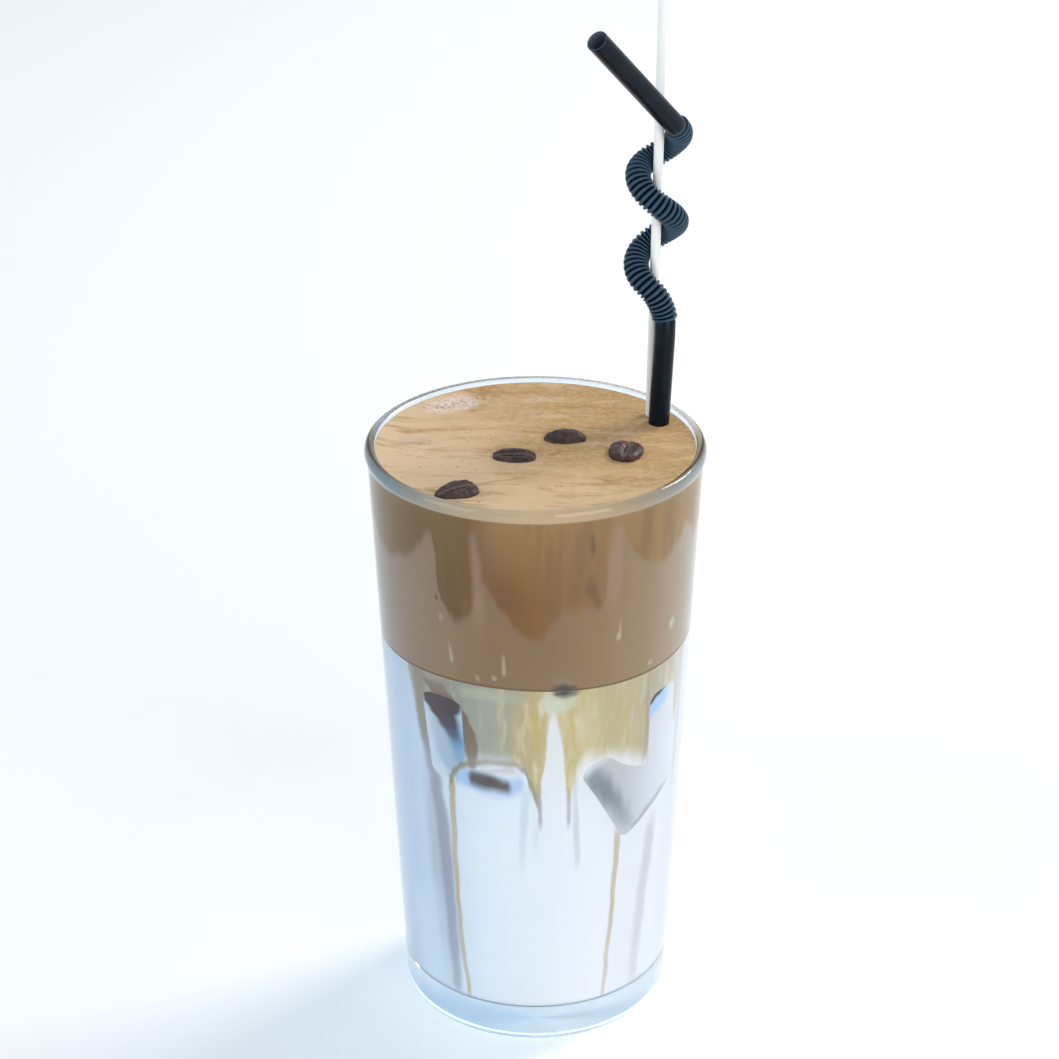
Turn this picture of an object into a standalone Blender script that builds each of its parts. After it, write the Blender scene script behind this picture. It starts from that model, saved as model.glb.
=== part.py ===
"""Iced coffee in a tall glass, with a spiral straw, a stirrer and four coffee beans.

Metres, +Z up. The glass's axis is Z, its foot stands on Z = 0, and the side that faces
the viewer is -Y. Milk fills the lower half, froth the upper half, and between them lies
a layer where coffee has run down into the milk in fingers.
"""
import math

import bmesh
import bpy
import numpy as np
from mathutils import Matrix, Vector

MM = 0.001
CLEARANCE = 0.3 * MM
SIDES = 64

# Glass
GLASS_HEIGHT = 147.4 * MM
RIM_RADIUS = 40.0 * MM
RIM_CREST_RADIUS = 39.0 * MM
LIP_DEPTH = 1.2 * MM
RIM_BULGE_HEIGHT = 145.6 * MM
RIM_UNDERSIDE_HEIGHT = 143.6 * MM
BODY_TOP_RADIUS = 39.30 * MM
BODY_FOOT_RADIUS = 32.45 * MM
FOOT_CORNER = 3.0 * MM
MOUTH_RADIUS = 37.5 * MM
FLOOR_RADIUS = 30.7 * MM
FLOOR_HEIGHT = 9.2 * MM
FLOOR_CORNER = 3.0 * MM
FOOT_RING_INNER_RADIUS = 25.0 * MM
HOLLOW_RADIUS = 22.0 * MM
HOLLOW_HEIGHT = 1.2 * MM

# Drink levels
FROTH_LEVEL = 146.0 * MM
FROTH_CLIMB = 0.4 * MM
FROTH_CLIMB_FROM = 0.86
FROTH_RELIEF = 0.2 * MM
FROTH_UNDERSIDE = 100.1 * MM
FROTH_UNDERSIDE_WAVE = 0.5 * MM
FROTH_UNDERSIDE_DOME = 0.8 * MM
MILK_LEVEL = 81.0 * MM
MILK_SWELL = 1.5 * MM
LAYER_GAP = 0.4 * MM

# Fingers of coffee that run down the wall into the milk: the angle from the front in
# degrees, positive to the right, the half width in degrees, and the drop from the level
FRONT_FINGERS = ((-62, 9, 4.0), (-31, 9, 5.0), (-9, 7, 8.0), (7, 6, -11.0), (19, 7, 9.0),
                 (41, 10, 8.5), (63, 9, -3.0))
BACK_FINGER_COUNT = 7
BACK_START = 95
BACK_END = 265

# Straw and stirrer, each along a leaning line through a point at the froth
STRAW_FOOT = Vector((29.36, 13.90, 146.0)) * MM
STRAW_LEAN = Vector((0.0467, 0.035, 1.0))
STIRRER_FOOT = Vector((27.48, 18.00, 146.0)) * MM
STIRRER_LEAN = Vector((0.0136, 0.035, 1.0))
STIRRER_RADIUS = 1.15 * MM
STIRRER_BOTTOM = 16.0 * MM
STIRRER_TOP = 257.0 * MM
STRAW_RADIUS = 2.5 * MM
STRAW_BORE_RADIUS = 2.15 * MM
STRAW_BOTTOM = 12.0 * MM
STRAW_SIDES = 12

# Ribbed coil: its angle about the stirrer in degrees and its height, in pairs
COIL_TURN = (-50, -90, -180, -360, -540, -590, -640, -720, -765)
COIL_HEIGHT = (171.9, 178.5, 183.8, 194.2, 205.6, 207.2, 209.5, 215.3, 218.1)
COIL_RADIUS_LOW = 4.6 * MM
COIL_RADIUS_HIGH = 5.0 * MM
RIDGE_RADIUS = 2.8 * MM
VALLEY_RADIUS = 2.35 * MM
RIBBED_BORE_RADIUS = 1.95 * MM
RIDGE_PITCH = 1.12 * MM
MOUTHPIECE_LENGTH = 36.3 * MM
MOUTHPIECE_HEADING = Vector((-18.2, -17.9, 24.5)).normalized()

# Coffee beans
BEAN_DOME = 2.6 * MM
BEAN_FLAT = 1.6 * MM
BEAN_CLEFT = 0.9 * MM
BEAN_CLEFT_WIDTH = 0.45 * MM
BEAN_STATIONS = 9
BEAN_AROUND = (0, 28, 55, 72, 81, 86, 90, 94, 99, 108, 125, 152, 180, 213, 247, 293, 327)
PIT_MARGIN = 1.2 * CLEARANCE
# Each bean: place, height of the middle over the froth, heading and roll in degrees,
# whether the flat side with the cleft is up, length and width
BEANS = (
    ((6.9, 3.3), -0.7, 3, 5, False, 9.9, 6.8),
    ((-4.9, -6.6), -0.8, -3, -4, True, 9.9, 6.5),
    ((20.9, -4.9), -0.1, 78, 3, True, 9.2, 8.2),
    ((-17.9, -26.6), -0.1, 30, 4, True, 9.8, 6.9),
)


def at_height(foot, lean, height):
    """The point of a leaning line at a height."""
    return foot + lean * (height - foot.z)


def body_radius(height):
    """Outer radius of the glass's plain wall."""
    share = height / RIM_UNDERSIDE_HEIGHT
    return BODY_FOOT_RADIUS + (BODY_TOP_RADIUS - BODY_FOOT_RADIUS) * share


def bore_radius(height):
    """Inner radius of the glass's plain wall."""
    share = (height - FLOOR_HEIGHT) / (GLASS_HEIGHT - FLOOR_HEIGHT)
    return FLOOR_RADIUS + (MOUTH_RADIUS - FLOOR_RADIUS) * share


def arc(centre_radius, centre_height, radius, height, start, end, steps):
    """(radius, height) points along an elliptical arc, angles in degrees."""
    points = []
    for angle in np.linspace(math.radians(start), math.radians(end), steps + 1):
        points.append((centre_radius + radius * math.cos(angle),
                       centre_height + height * math.sin(angle)))
    return points


def floor_corner(inset):
    """The rounded corner between floor and wall, moved inwards by an inset."""
    height = FLOOR_HEIGHT + FLOOR_CORNER
    centre = bore_radius(height) - FLOOR_CORNER
    corner = FLOOR_CORNER - inset
    return arc(centre, height, corner, corner, -90, 0, 4)


def material(name, colour, roughness, transmission=0.0):
    """A Principled material."""
    made = bpy.data.materials.new(name)
    made.use_nodes = True
    shader = made.node_tree.nodes["Principled BSDF"]
    shader.inputs["Base Color"].default_value = (*colour, 1.0)
    shader.inputs["Roughness"].default_value = roughness
    shader.inputs["Metallic"].default_value = 0.0
    shader.inputs["Transmission Weight"].default_value = transmission
    return made


def add_object(name, mesh, finish):
    """Put a mesh into the scene under its name, smooth where it is round."""
    made = bpy.data.objects.new(name, mesh)
    bpy.context.scene.collection.objects.link(made)
    if finish:
        mesh.materials.append(finish)
    mesh.shade_smooth()
    mesh.set_sharp_from_angle(angle=math.radians(35))
    return made


def loft(name, rings, finish, turned=(), closed=False):
    """A closed solid through rings of points, with flat fans at its two ends.

    Rings run so that their faces look outwards. The gaps between rings that are listed
    in turned have their squares cut along the other diagonal. A closed loft joins its
    last ring to its first and has no ends.
    """
    shape = bmesh.new()
    loops = [[shape.verts.new(point) for point in ring] for ring in rings]
    pairs = list(zip(loops, loops[1:]))
    if closed:
        pairs.append((loops[-1], loops[0]))
    for number, (low, high) in enumerate(pairs):
        for near in range(len(low)):
            far = (near + 1) % len(low)
            corners = (low[near], low[far], high[far], high[near])
            if number in turned:
                corners = corners[1:] + corners[:1]
            shape.faces.new(corners[:3])
            shape.faces.new((corners[0], corners[2], corners[3]))
    if not closed:
        for loop, step in ((loops[0], -1), (loops[-1], 1)):
            middle = sum((vert.co for vert in loop), Vector()) / len(loop)
            pole = shape.verts.new(middle)
            for near, vert in enumerate(loop):
                beside = loop[(near + step) % len(loop)]
                shape.faces.new((vert, beside, pole))
    mesh = bpy.data.meshes.new(name)
    shape.to_mesh(mesh)
    shape.free()
    return add_object(name, mesh, finish)


def cut(target, cutters):
    """Cut every cutter out of a target."""
    for cutter in cutters:
        hole = target.modifiers.new(cutter.name, "BOOLEAN")
        hole.operation = "DIFFERENCE"
        hole.solver = "EXACT"
        hole.object = cutter


def as_cutter(made):
    """Mark an object as a cutter, which isn't part of the model."""
    made.hide_render = True
    made.display_type = "WIRE"
    return made


def make_glass():
    """The tumbler: one turned wall with a rounded rim and a thick clear foot."""
    inner_lip_height = GLASS_HEIGHT - LIP_DEPTH
    lip_radius = bore_radius(inner_lip_height)
    profile = [(0.0, FLOOR_HEIGHT)]
    profile += floor_corner(0.0)
    profile += arc(RIM_CREST_RADIUS, inner_lip_height, RIM_CREST_RADIUS - lip_radius,
                   GLASS_HEIGHT - inner_lip_height, 180, 90, 3)
    profile += arc(RIM_CREST_RADIUS, RIM_BULGE_HEIGHT, RIM_RADIUS - RIM_CREST_RADIUS,
                   GLASS_HEIGHT - RIM_BULGE_HEIGHT, 90, 0, 4)[1:]
    for share in (0.5, 1.0):
        ease = 0.5 - 0.5 * math.cos(math.pi * share)
        height = RIM_BULGE_HEIGHT + (RIM_UNDERSIDE_HEIGHT - RIM_BULGE_HEIGHT) * share
        profile.append((RIM_RADIUS + (BODY_TOP_RADIUS - RIM_RADIUS) * ease, height))
    profile += arc(body_radius(FOOT_CORNER) - FOOT_CORNER, FOOT_CORNER, FOOT_CORNER,
                   FOOT_CORNER, 0, -90, 4)
    profile += [(FOOT_RING_INNER_RADIUS, 0.0), (HOLLOW_RADIUS, 0.8 * HOLLOW_HEIGHT),
                (0.0, HOLLOW_HEIGHT)]
    mesh = bpy.data.meshes.new("glass")
    edges = [(start, start + 1) for start in range(len(profile) - 1)]
    mesh.from_pydata([(radius, 0.0, height) for radius, height in profile], edges, [])
    made = add_object("glass", mesh, material("clear glass", (0.93, 0.97, 0.98), 0.02, 1.0))
    turn = made.modifiers.new("turn", "SCREW")
    turn.angle = 2 * math.pi
    turn.steps = SIDES
    turn.render_steps = SIDES
    turn.use_merge_vertices = True
    turn.merge_threshold = 0.01 * MM
    turn.use_smooth_shade = True


def back_fingers():
    """Fingers of the same kind round the back."""
    draw = np.random.default_rng(4)
    spacing = (BACK_END - BACK_START) / BACK_FINGER_COUNT
    fingers = []
    for number in range(BACK_FINGER_COUNT):
        angle = BACK_START + spacing * (number + 0.5) + draw.uniform(-5, 5)
        drop = draw.uniform(3, 9) * (1 if number % 2 else -0.7)
        fingers.append((angle, draw.uniform(7, 10), drop))
    return tuple(fingers)


FINGERS = FRONT_FINGERS + back_fingers()


def finger_drop(angle):
    """How far the coffee hangs below its level at the wall, at an angle about Z."""
    from_front = math.degrees(angle) + 90.0
    drop = 0.0
    for middle, half_width, depth in FINGERS:
        away = (from_front - middle + 180.0) % 360.0 - 180.0
        drop += depth * MM * math.exp(-(away / half_width) ** 2)
    return drop


def milk_surface(angle, share):
    """Height of the milk at a share of the way from the axis to the wall."""
    swell = MILK_SWELL * math.sin(2 * angle + 0.6) * share
    return MILK_LEVEL + swell - finger_drop(angle) * share ** 3


def froth_base(angle, share):
    """Height of the froth's underside, a little higher in the middle."""
    wave = FROTH_UNDERSIDE_WAVE * math.sin(3 * angle + 1.0) * share
    return FROTH_UNDERSIDE + wave + FROTH_UNDERSIDE_DOME * (1 - share ** 2)


def froth_top(angle, share):
    """Height of the froth's top: low swirls, higher where it clings to the glass."""
    across = share * math.cos(angle)
    along = share * math.sin(angle)
    swirl = math.sin(9.0 * along + 2.5 * math.sin(2.2 * across + 0.4))
    swell = math.sin(3.1 * across - 1.7 * along + 1.2)
    edge = max(0.0, share - FROTH_CLIMB_FROM) / (1 - FROTH_CLIMB_FROM)
    relief = FROTH_RELIEF * (swirl + swell) * (1 - edge)
    return FROTH_LEVEL + relief + FROTH_CLIMB * edge ** 1.6


def disc_rings(surface, shares, rise):
    """Rings of points across a layer's face, out to the glass."""
    rings = []
    for share in shares:
        ring = []
        for step in range(SIDES):
            angle = 2 * math.pi * step / SIDES
            height = surface(angle, share) + rise
            radius = share * (bore_radius(height) - CLEARANCE)
            ring.append((radius * math.cos(angle), radius * math.sin(angle), height))
        rings.append(ring)
    return rings


def round_ring(radius, height):
    """A level ring of points."""
    ring = []
    for step in range(SIDES):
        angle = 2 * math.pi * step / SIDES
        ring.append((radius * math.cos(angle), radius * math.sin(angle), height))
    return ring


def slab(name, lower, upper, finish):
    """A layer between its lower rings, which run outwards, and its upper ones."""
    rings = lower + upper[::-1]
    first_turned = len(lower)
    return loft(name, rings, finish, turned=range(first_turned, len(rings) - 1))


COARSE = (0.5, 1.0)
MIXING = (0.3, 0.6, 0.8, 0.92, 1.0)
SURFACE = (0.1, 0.22, 0.36, 0.5, 0.64, 0.76, 0.86, 0.94, 1.0)


def make_drink(cutters, pits):
    """Milk, the mixed layer and the froth, each cut round the straw and the stirrer."""
    foot = [round_ring(radius, height) for radius, height in floor_corner(CLEARANCE)]
    milk = slab("milk", foot, disc_rings(milk_surface, MIXING, 0.0),
                material("milk", (0.78, 0.81, 0.85), 0.35))
    cut(milk, cutters)
    mixed = slab("coffee_milk_mix", disc_rings(milk_surface, MIXING, LAYER_GAP),
                 disc_rings(froth_base, COARSE, -LAYER_GAP),
                 material("coffee and milk", (0.50, 0.45, 0.27), 0.4))
    cut(mixed, cutters)
    froth = slab("coffee_froth", disc_rings(froth_base, COARSE, 0.0),
                 disc_rings(froth_top, SURFACE, 0.0),
                 material("coffee froth", (0.50, 0.34, 0.19), 0.6))
    cut(froth, cutters + pits)


def even_spacing(points, spacing):
    """The same route with its points evenly spaced."""
    places = np.array([tuple(point) for point in points])
    lengths = np.linalg.norm(np.diff(places, axis=0), axis=1)
    along = np.concatenate(([0.0], np.cumsum(lengths)))
    steps = np.arange(0.0, along[-1], spacing)
    return np.stack([np.interp(steps, along, places[:, axis]) for axis in range(3)], axis=1)


def rounded(places, reach, passes=3):
    """The same route with its bends rounded by averaging over a reach of points."""
    for _ in range(passes):
        softer = places.copy()
        for middle in range(reach, len(places) - reach):
            softer[middle] = places[middle - reach:middle + reach + 1].mean(axis=0)
        places = softer
    return places


def straw_route():
    """Evenly spaced points along the straw, with where the ribs start and end."""
    bottom = at_height(STRAW_FOOT, STRAW_LEAN, STRAW_BOTTOM)
    start = at_height(STRAW_FOOT, STRAW_LEAN, COIL_HEIGHT[0] * MM)
    route = [bottom, start]
    first_turn = COIL_TURN[0]
    last_turn = COIL_TURN[-1]
    for turn in range(first_turn - 6, last_turn - 1, -3):
        height = np.interp(-turn, [-key for key in COIL_TURN], COIL_HEIGHT) * MM
        share = (turn - first_turn) / (last_turn - first_turn)
        radius = COIL_RADIUS_LOW + (COIL_RADIUS_HIGH - COIL_RADIUS_LOW) * share
        angle = math.radians(turn)
        across = Vector((math.cos(angle), math.sin(angle), 0.0)) * radius
        route.append(at_height(STIRRER_FOOT, STIRRER_LEAN, height) + across)
    route.append(route[-1] + MOUTHPIECE_HEADING * MOUTHPIECE_LENGTH)
    spacing = RIDGE_PITCH / 4
    places = rounded(even_spacing(route, spacing), 6)
    ribs_start = round((start - bottom).length / spacing)
    ribs_end = len(places) - round(MOUTHPIECE_LENGTH / spacing)
    return [Vector(place) for place in places], ribs_start, ribs_end


def frames_along(points):
    """Two crosswise directions at every point of a route, carried along without twist."""
    frames = []
    side = Vector((1.0, 0.0, 0.0))
    for number in range(len(points)):
        ahead = points[min(number + 1, len(points) - 1)]
        behind = points[max(number - 1, 0)]
        tangent = (ahead - behind).normalized()
        side = (side - tangent * side.dot(tangent)).normalized()
        frames.append((side, tangent.cross(side)))
    return frames


def ring_round(point, frame, radius, sides):
    """A ring of points round a route's point."""
    side, up = frame
    ring = []
    for step in range(sides):
        angle = 2 * math.pi * step / sides
        ring.append(point + radius * (math.cos(angle) * side + math.sin(angle) * up))
    return ring


def make_straw():
    """The straw: a thin tube, ribbed where it winds round the stirrer, open at both ends."""
    points, ribs_start, ribs_end = straw_route()
    frames = frames_along(points)

    def ring(number, radius):
        return ring_round(points[number], frames[number], radius, STRAW_SIDES)

    last = len(points) - 1
    rings = [ring(0, STRAW_RADIUS), ring(ribs_start - 2, STRAW_RADIUS)]
    ribs = range(ribs_start, ribs_end, 4)
    for number in ribs:
        rings.append(ring(number, VALLEY_RADIUS))
        rings.append(ring(number + 2, RIDGE_RADIUS))
    rings.append(ring(ribs[-1] + 4, VALLEY_RADIUS))
    rings.append(ring(ribs[-1] + 6, STRAW_RADIUS))
    rings.append(ring(last, STRAW_RADIUS))
    rings.append(ring(last, STRAW_BORE_RADIUS))
    rings.append(ring(ribs[-1] + 6, STRAW_BORE_RADIUS))
    for number in ribs[::-2]:
        rings.append(ring(number, RIBBED_BORE_RADIUS))
    rings.append(ring(ribs_start - 4, STRAW_BORE_RADIUS))
    rings.append(ring(0, STRAW_BORE_RADIUS))
    loft("straw", rings, material("black plastic", (0.014, 0.018, 0.024), 0.35), closed=True)


def rod(name, foot, lean, radius, low, high, sides, finish, rounding=0.0):
    """A leaning round rod between two heights, its ends eased by a rounding."""
    frames = frames_along([foot, foot + lean])
    levels = ((low, radius - rounding), (low + rounding, radius),
              (high - rounding, radius), (high, radius - rounding))
    rings = []
    for level, size in levels:
        rings.append(ring_round(at_height(foot, lean, level), frames[0], size, sides))
    return loft(name, rings, finish)


def make_stirrer():
    """The slim white rod that the straw winds round."""
    white = material("white plastic", (0.80, 0.79, 0.74), 0.4)
    rod("stirrer", STIRRER_FOOT, STIRRER_LEAN, STIRRER_RADIUS, STIRRER_BOTTOM,
        STIRRER_TOP, 16, white, rounding=0.4 * MM)


def make_drink_cutters():
    """Holes for the straw and the stirrer through the drink."""
    above = GLASS_HEIGHT + 5 * MM
    straw = rod("straw_hole", STRAW_FOOT, STRAW_LEAN, STRAW_RADIUS + CLEARANCE,
                STRAW_BOTTOM - CLEARANCE, above, 20, None, rounding=0.01 * MM)
    stirrer = rod("stirrer_hole", STIRRER_FOOT, STIRRER_LEAN, STIRRER_RADIUS + CLEARANCE,
                  STIRRER_BOTTOM - CLEARANCE, above, 16, None, rounding=0.01 * MM)
    return [as_cutter(straw), as_cutter(stirrer)]


def bean_section(angle, half_width, slimness, cleft):
    """A point round a bean's section: domed below, flat above with a cleft."""
    across = half_width * math.copysign(abs(math.cos(angle)) ** 0.85, math.cos(angle))
    if math.sin(angle) < 0:
        return across, BEAN_DOME * math.sin(angle) * slimness
    flat = BEAN_FLAT * math.sin(angle) ** 0.6 * slimness
    groove = cleft * slimness * math.exp(-(across / BEAN_CLEFT_WIDTH) ** 2)
    return across, flat - groove


def bean_rings(length, width, grow, cleft):
    """Rings along a bean's length, each grown by a margin."""
    rings = []
    for station in range(BEAN_STATIONS):
        turn = math.pi * (station + 0.5) / BEAN_STATIONS
        along = -(length / 2 + grow) * math.cos(turn)
        slimness = math.sin(turn) ** 0.8
        ring = []
        for degrees in BEAN_AROUND:
            across, height = bean_section(math.radians(degrees), width / 2 * slimness,
                                          slimness, cleft)
            stretch = 1 + grow / math.hypot(across, height)
            ring.append((along, across * stretch, height * stretch))
        rings.append(ring)
    return rings


def place_bean(made, place, rise, heading, roll):
    """Turn and set a bean, or its pit, on the froth."""
    east, north = place
    spot = Vector((east * MM, north * MM, FROTH_LEVEL + rise * MM))
    turn = Matrix.Rotation(math.radians(heading), 4, "Z")
    made.matrix_world = Matrix.Translation(spot) @ turn @ Matrix.Rotation(roll, 4, "X")


def make_beans():
    """Four roasted beans, mostly sunk in the froth, and the pits that they lie in."""
    roasted = material("roasted bean", (0.075, 0.045, 0.034), 0.45)
    pits = []
    for number, bean in enumerate(BEANS, start=1):
        place, rise, heading, roll, cleft_up, length, width = bean
        roll = math.radians(roll if cleft_up else roll + 180)
        rings = bean_rings(length * MM, width * MM, 0.0, BEAN_CLEFT)
        made = loft(f"coffee_bean_{number}", rings, roasted)
        place_bean(made, place, rise, heading, roll)
        rings = bean_rings(length * MM, width * MM, PIT_MARGIN, 0.0)
        pit = loft(f"bean_pit_{number}", rings, None)
        place_bean(pit, place, rise, heading, roll)
        pits.append(as_cutter(pit))
    return pits


def main():
    """Build every piece of the drink."""
    for item in list(bpy.data.objects):
        bpy.data.objects.remove(item, do_unlink=True)
    make_glass()
    make_drink(make_drink_cutters(), make_beans())
    make_straw()
    make_stirrer()


main()
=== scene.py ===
import math

import bpy
import numpy as np
from mathutils import Matrix, Vector


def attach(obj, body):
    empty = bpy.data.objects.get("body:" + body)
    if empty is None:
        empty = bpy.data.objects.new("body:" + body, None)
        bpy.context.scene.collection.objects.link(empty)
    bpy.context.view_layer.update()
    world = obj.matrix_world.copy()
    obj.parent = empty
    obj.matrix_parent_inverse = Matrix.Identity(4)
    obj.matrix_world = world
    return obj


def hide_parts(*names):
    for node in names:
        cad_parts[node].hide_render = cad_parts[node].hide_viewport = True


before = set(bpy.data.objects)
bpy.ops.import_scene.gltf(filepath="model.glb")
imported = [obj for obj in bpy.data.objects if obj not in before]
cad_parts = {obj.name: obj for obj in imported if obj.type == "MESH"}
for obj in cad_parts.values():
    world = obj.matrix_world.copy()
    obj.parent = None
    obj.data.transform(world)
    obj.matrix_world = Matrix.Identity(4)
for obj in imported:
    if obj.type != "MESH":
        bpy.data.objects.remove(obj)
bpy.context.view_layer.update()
MM = 0.001

# Camera
# A camera on a stand behind the viewer's side of the glass and a little above it, turned
# down to look into the drink. Its long lens keeps the glass's sides nearly straight.
CAMERA_PLACE = (0.0, -600.0 * MM, 411.6 * MM)
CAMERA_TILT = math.radians(64.411)
LENS_LENGTH = 95.44
LENS_SHIFT = -0.00564
bpy.ops.object.camera_add(location=CAMERA_PLACE, rotation=(CAMERA_TILT, 0.0, 0.0))
camera = bpy.context.object
camera.data.lens = LENS_LENGTH
camera.data.shift_x = LENS_SHIFT
bpy.context.scene.camera = camera


# Studio
# A white table that runs out of sight behind the glass, in a bright white room. A large
# soft lamp stands behind the glass to the right, and a weaker one in front to the left.
def add_node(tree, kind, *inputs, **settings):
    """A shader node with its settings and its inputs in order, each a value or a socket."""
    made = tree.nodes.new("ShaderNode" + kind)
    for name, value in settings.items():
        setattr(made, name, value)
    for socket, value in zip(made.inputs, inputs):
        if isinstance(value, bpy.types.NodeSocket):
            tree.links.new(value, socket)
        elif value is not None:
            socket.default_value = value
    return made


def new_material(name):
    """A material, its node tree and its Principled shader."""
    made = bpy.data.materials.new(name)
    made.use_nodes = True
    return made, made.node_tree, made.node_tree.nodes["Principled BSDF"]


def noise(tree, place, scale, detail=3.0):
    """Cloudy noise from 0 to 1, its scale in lumps to the metre."""
    return add_node(tree, "TexNoise", place, None, scale, detail).outputs["Fac"]


def mix_colours(tree, share, first, second):
    """The first colour, turned into the second by a share."""
    made = add_node(tree, "Mix", data_type="RGBA")
    for socket, value in ((made.inputs[0], share), (made.inputs[6], first),
                          (made.inputs[7], second)):
        if isinstance(value, bpy.types.NodeSocket):
            tree.links.new(value, socket)
        else:
            socket.default_value = value
    return made.outputs[2]


def ramp(tree, value, stops, smooth=False):
    """A colour ramp over a value, from (value, colour) stops in rising order."""
    low, high = stops[0][0], stops[-1][0]
    share = add_node(tree, "MapRange", value, low, high).outputs[0]
    made = add_node(tree, "ValToRGB", share)
    made.color_ramp.interpolation = "EASE" if smooth else "LINEAR"
    elements = made.color_ramp.elements
    while len(elements) < len(stops):
        elements.new(1.0)
    for element, (position, colour) in zip(elements, stops):
        element.position = (position - low) / (high - low)
        element.color = (*colour, 1.0)
    return made.outputs["Color"]


TABLE_SIZE = 7.0
# The table ends this far in front of the glass, so that all of the glass reflects it
TABLE_EDGE = 1.5
bpy.ops.object.select_all(action="DESELECT")
bpy.ops.mesh.primitive_plane_add(size=TABLE_SIZE, location=(0, TABLE_SIZE / 2 - TABLE_EDGE, 0))
table = bpy.context.object
table.name = "table"
bpy.ops.object.transform_apply(location=True, rotation=False, scale=False)
table_white, tree, shader = new_material("white table")
place = add_node(tree, "TexCoord").outputs["Object"]
shade = mix_colours(tree, noise(tree, place, 3.0), (0.93, 0.90, 0.87, 1.0),
                    (0.94, 0.91, 0.88, 1.0))
tree.links.new(shade, shader.inputs["Base Color"])
shader.inputs["Roughness"].default_value = 0.7
# The thick foot gathers light on the table under it, which the shadow rays leave out
GATHERED_REACH = 130.0 * MM
away = add_node(tree, "VectorMath", place, operation="LENGTH").outputs["Value"]
gathered = ramp(tree, away, ((0.0, (1.0, 1.0, 1.0)), (15.0 * MM, (1.0, 1.0, 1.0)),
                             (27.0 * MM, (0.55, 0.55, 0.55)), (33.0 * MM, (0.20, 0.20, 0.20)),
                             (50.0 * MM, (0.09, 0.09, 0.09)), (GATHERED_REACH, (0.0, 0.0, 0.0))))
tree.links.new(gathered, shader.inputs["Emission Strength"])
shader.inputs["Emission Color"].default_value = (0.72, 0.88, 1.0, 1.0)
table.data.materials.append(table_white)

room = bpy.data.worlds.new("white room")
room.use_nodes = True
tree = room.node_tree
upwards = add_node(tree, "SeparateXYZ", add_node(tree, "TexCoord").outputs["Generated"])
sky = ramp(tree, upwards.outputs[2], ((-1.0, (0.08, 0.10, 0.12)), (-0.15, (0.14, 0.17, 0.20)),
                                      (0.0, (0.86, 0.90, 0.94)), (0.35, (0.78, 0.87, 0.95)),
                                      (1.0, (0.55, 0.71, 0.88))))
tree.links.new(sky, tree.nodes["Background"].inputs["Color"])
tree.nodes["Background"].inputs["Strength"].default_value = 0.85
bpy.context.scene.world = room
bpy.context.scene.view_settings.view_transform = "Standard"

GLASS_MIDDLE = Vector((0.0, 0.0, 90.0 * MM))
LAMPS = (("back_lamp", (1.1, 0.9, 1.2), 0.6, 18.0, (1.0, 0.93, 0.87)),
         ("right_lamp", (1.0, -1.65, 0.5), 1.3, 15.0, (1.0, 0.95, 0.90)),
         ("left_lamp", (-1.3, -0.8, 0.6), 1.0, 6.0, (0.94, 0.97, 1.0)))
for name, spot, size, power, colour in LAMPS:
    bpy.ops.object.light_add(type="AREA", location=spot)
    lamp = bpy.context.object
    lamp.name = name
    lamp.data.size = size
    lamp.data.energy = power
    lamp.data.color = colour
    lamp.rotation_euler = (GLASS_MIDDLE - Vector(spot)).to_track_quat("-Z", "Y").to_euler()


# Tumbler
# A tall tapering tumbler of clear pressed glass, with a rounded bead at the rim and a thick
# foot with a shallow hollow under it. It is pressed in one piece and its rim is fire polished.
GLASS_SIDES = 192
RIM_HEIGHT = 147.4 * MM
RIM_CREST = 39.0 * MM
RIM_WIDEST = 40.0 * MM
RIM_WIDEST_HEIGHT = 145.6 * MM
RIM_UNDERSIDE = 143.6 * MM
LIP_DEPTH = 1.2 * MM
WALL_TOP = 39.3 * MM
WALL_FOOT = 32.45 * MM
FOOT_CORNER = 3.0 * MM
MOUTH_RADIUS = 37.5 * MM
FLOOR_RADIUS = 30.7 * MM
FLOOR_HEIGHT = 9.2 * MM
FLOOR_CORNER = 3.0 * MM
FOOT_RING_INNER = 25.0 * MM
HOLLOW_HEIGHT = 1.2 * MM
HOLLOW_SHARES = (0.2, 0.5, 0.75, 0.9, 1.0)
# Rings close to the wall's ends keep its shading straight up to the foot and the rim
WALL_SHARES = (0.005, *np.linspace(0.1, 0.9, 9), 0.985, 0.995, 1.0)
INNER_SHARES = np.linspace(0.1, 0.9, 9)


def outside_radius(height):
    """Outer radius of the plain wall at a height."""
    return WALL_FOOT + (WALL_TOP - WALL_FOOT) * height / RIM_UNDERSIDE


def inside_radius(height):
    """Inner radius of the plain wall at a height."""
    share = (height - FLOOR_HEIGHT) / (RIM_HEIGHT - FLOOR_HEIGHT)
    return FLOOR_RADIUS + (MOUTH_RADIUS - FLOOR_RADIUS) * share


def arc(centre, radii, start, end, steps):
    """Points of (radius, height) along an elliptical arc, angles in degrees."""
    points = []
    for angle in np.linspace(math.radians(start), math.radians(end), steps + 1):
        points.append((centre[0] + radii[0] * math.cos(angle),
                       centre[1] + radii[1] * math.sin(angle)))
    return points


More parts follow.
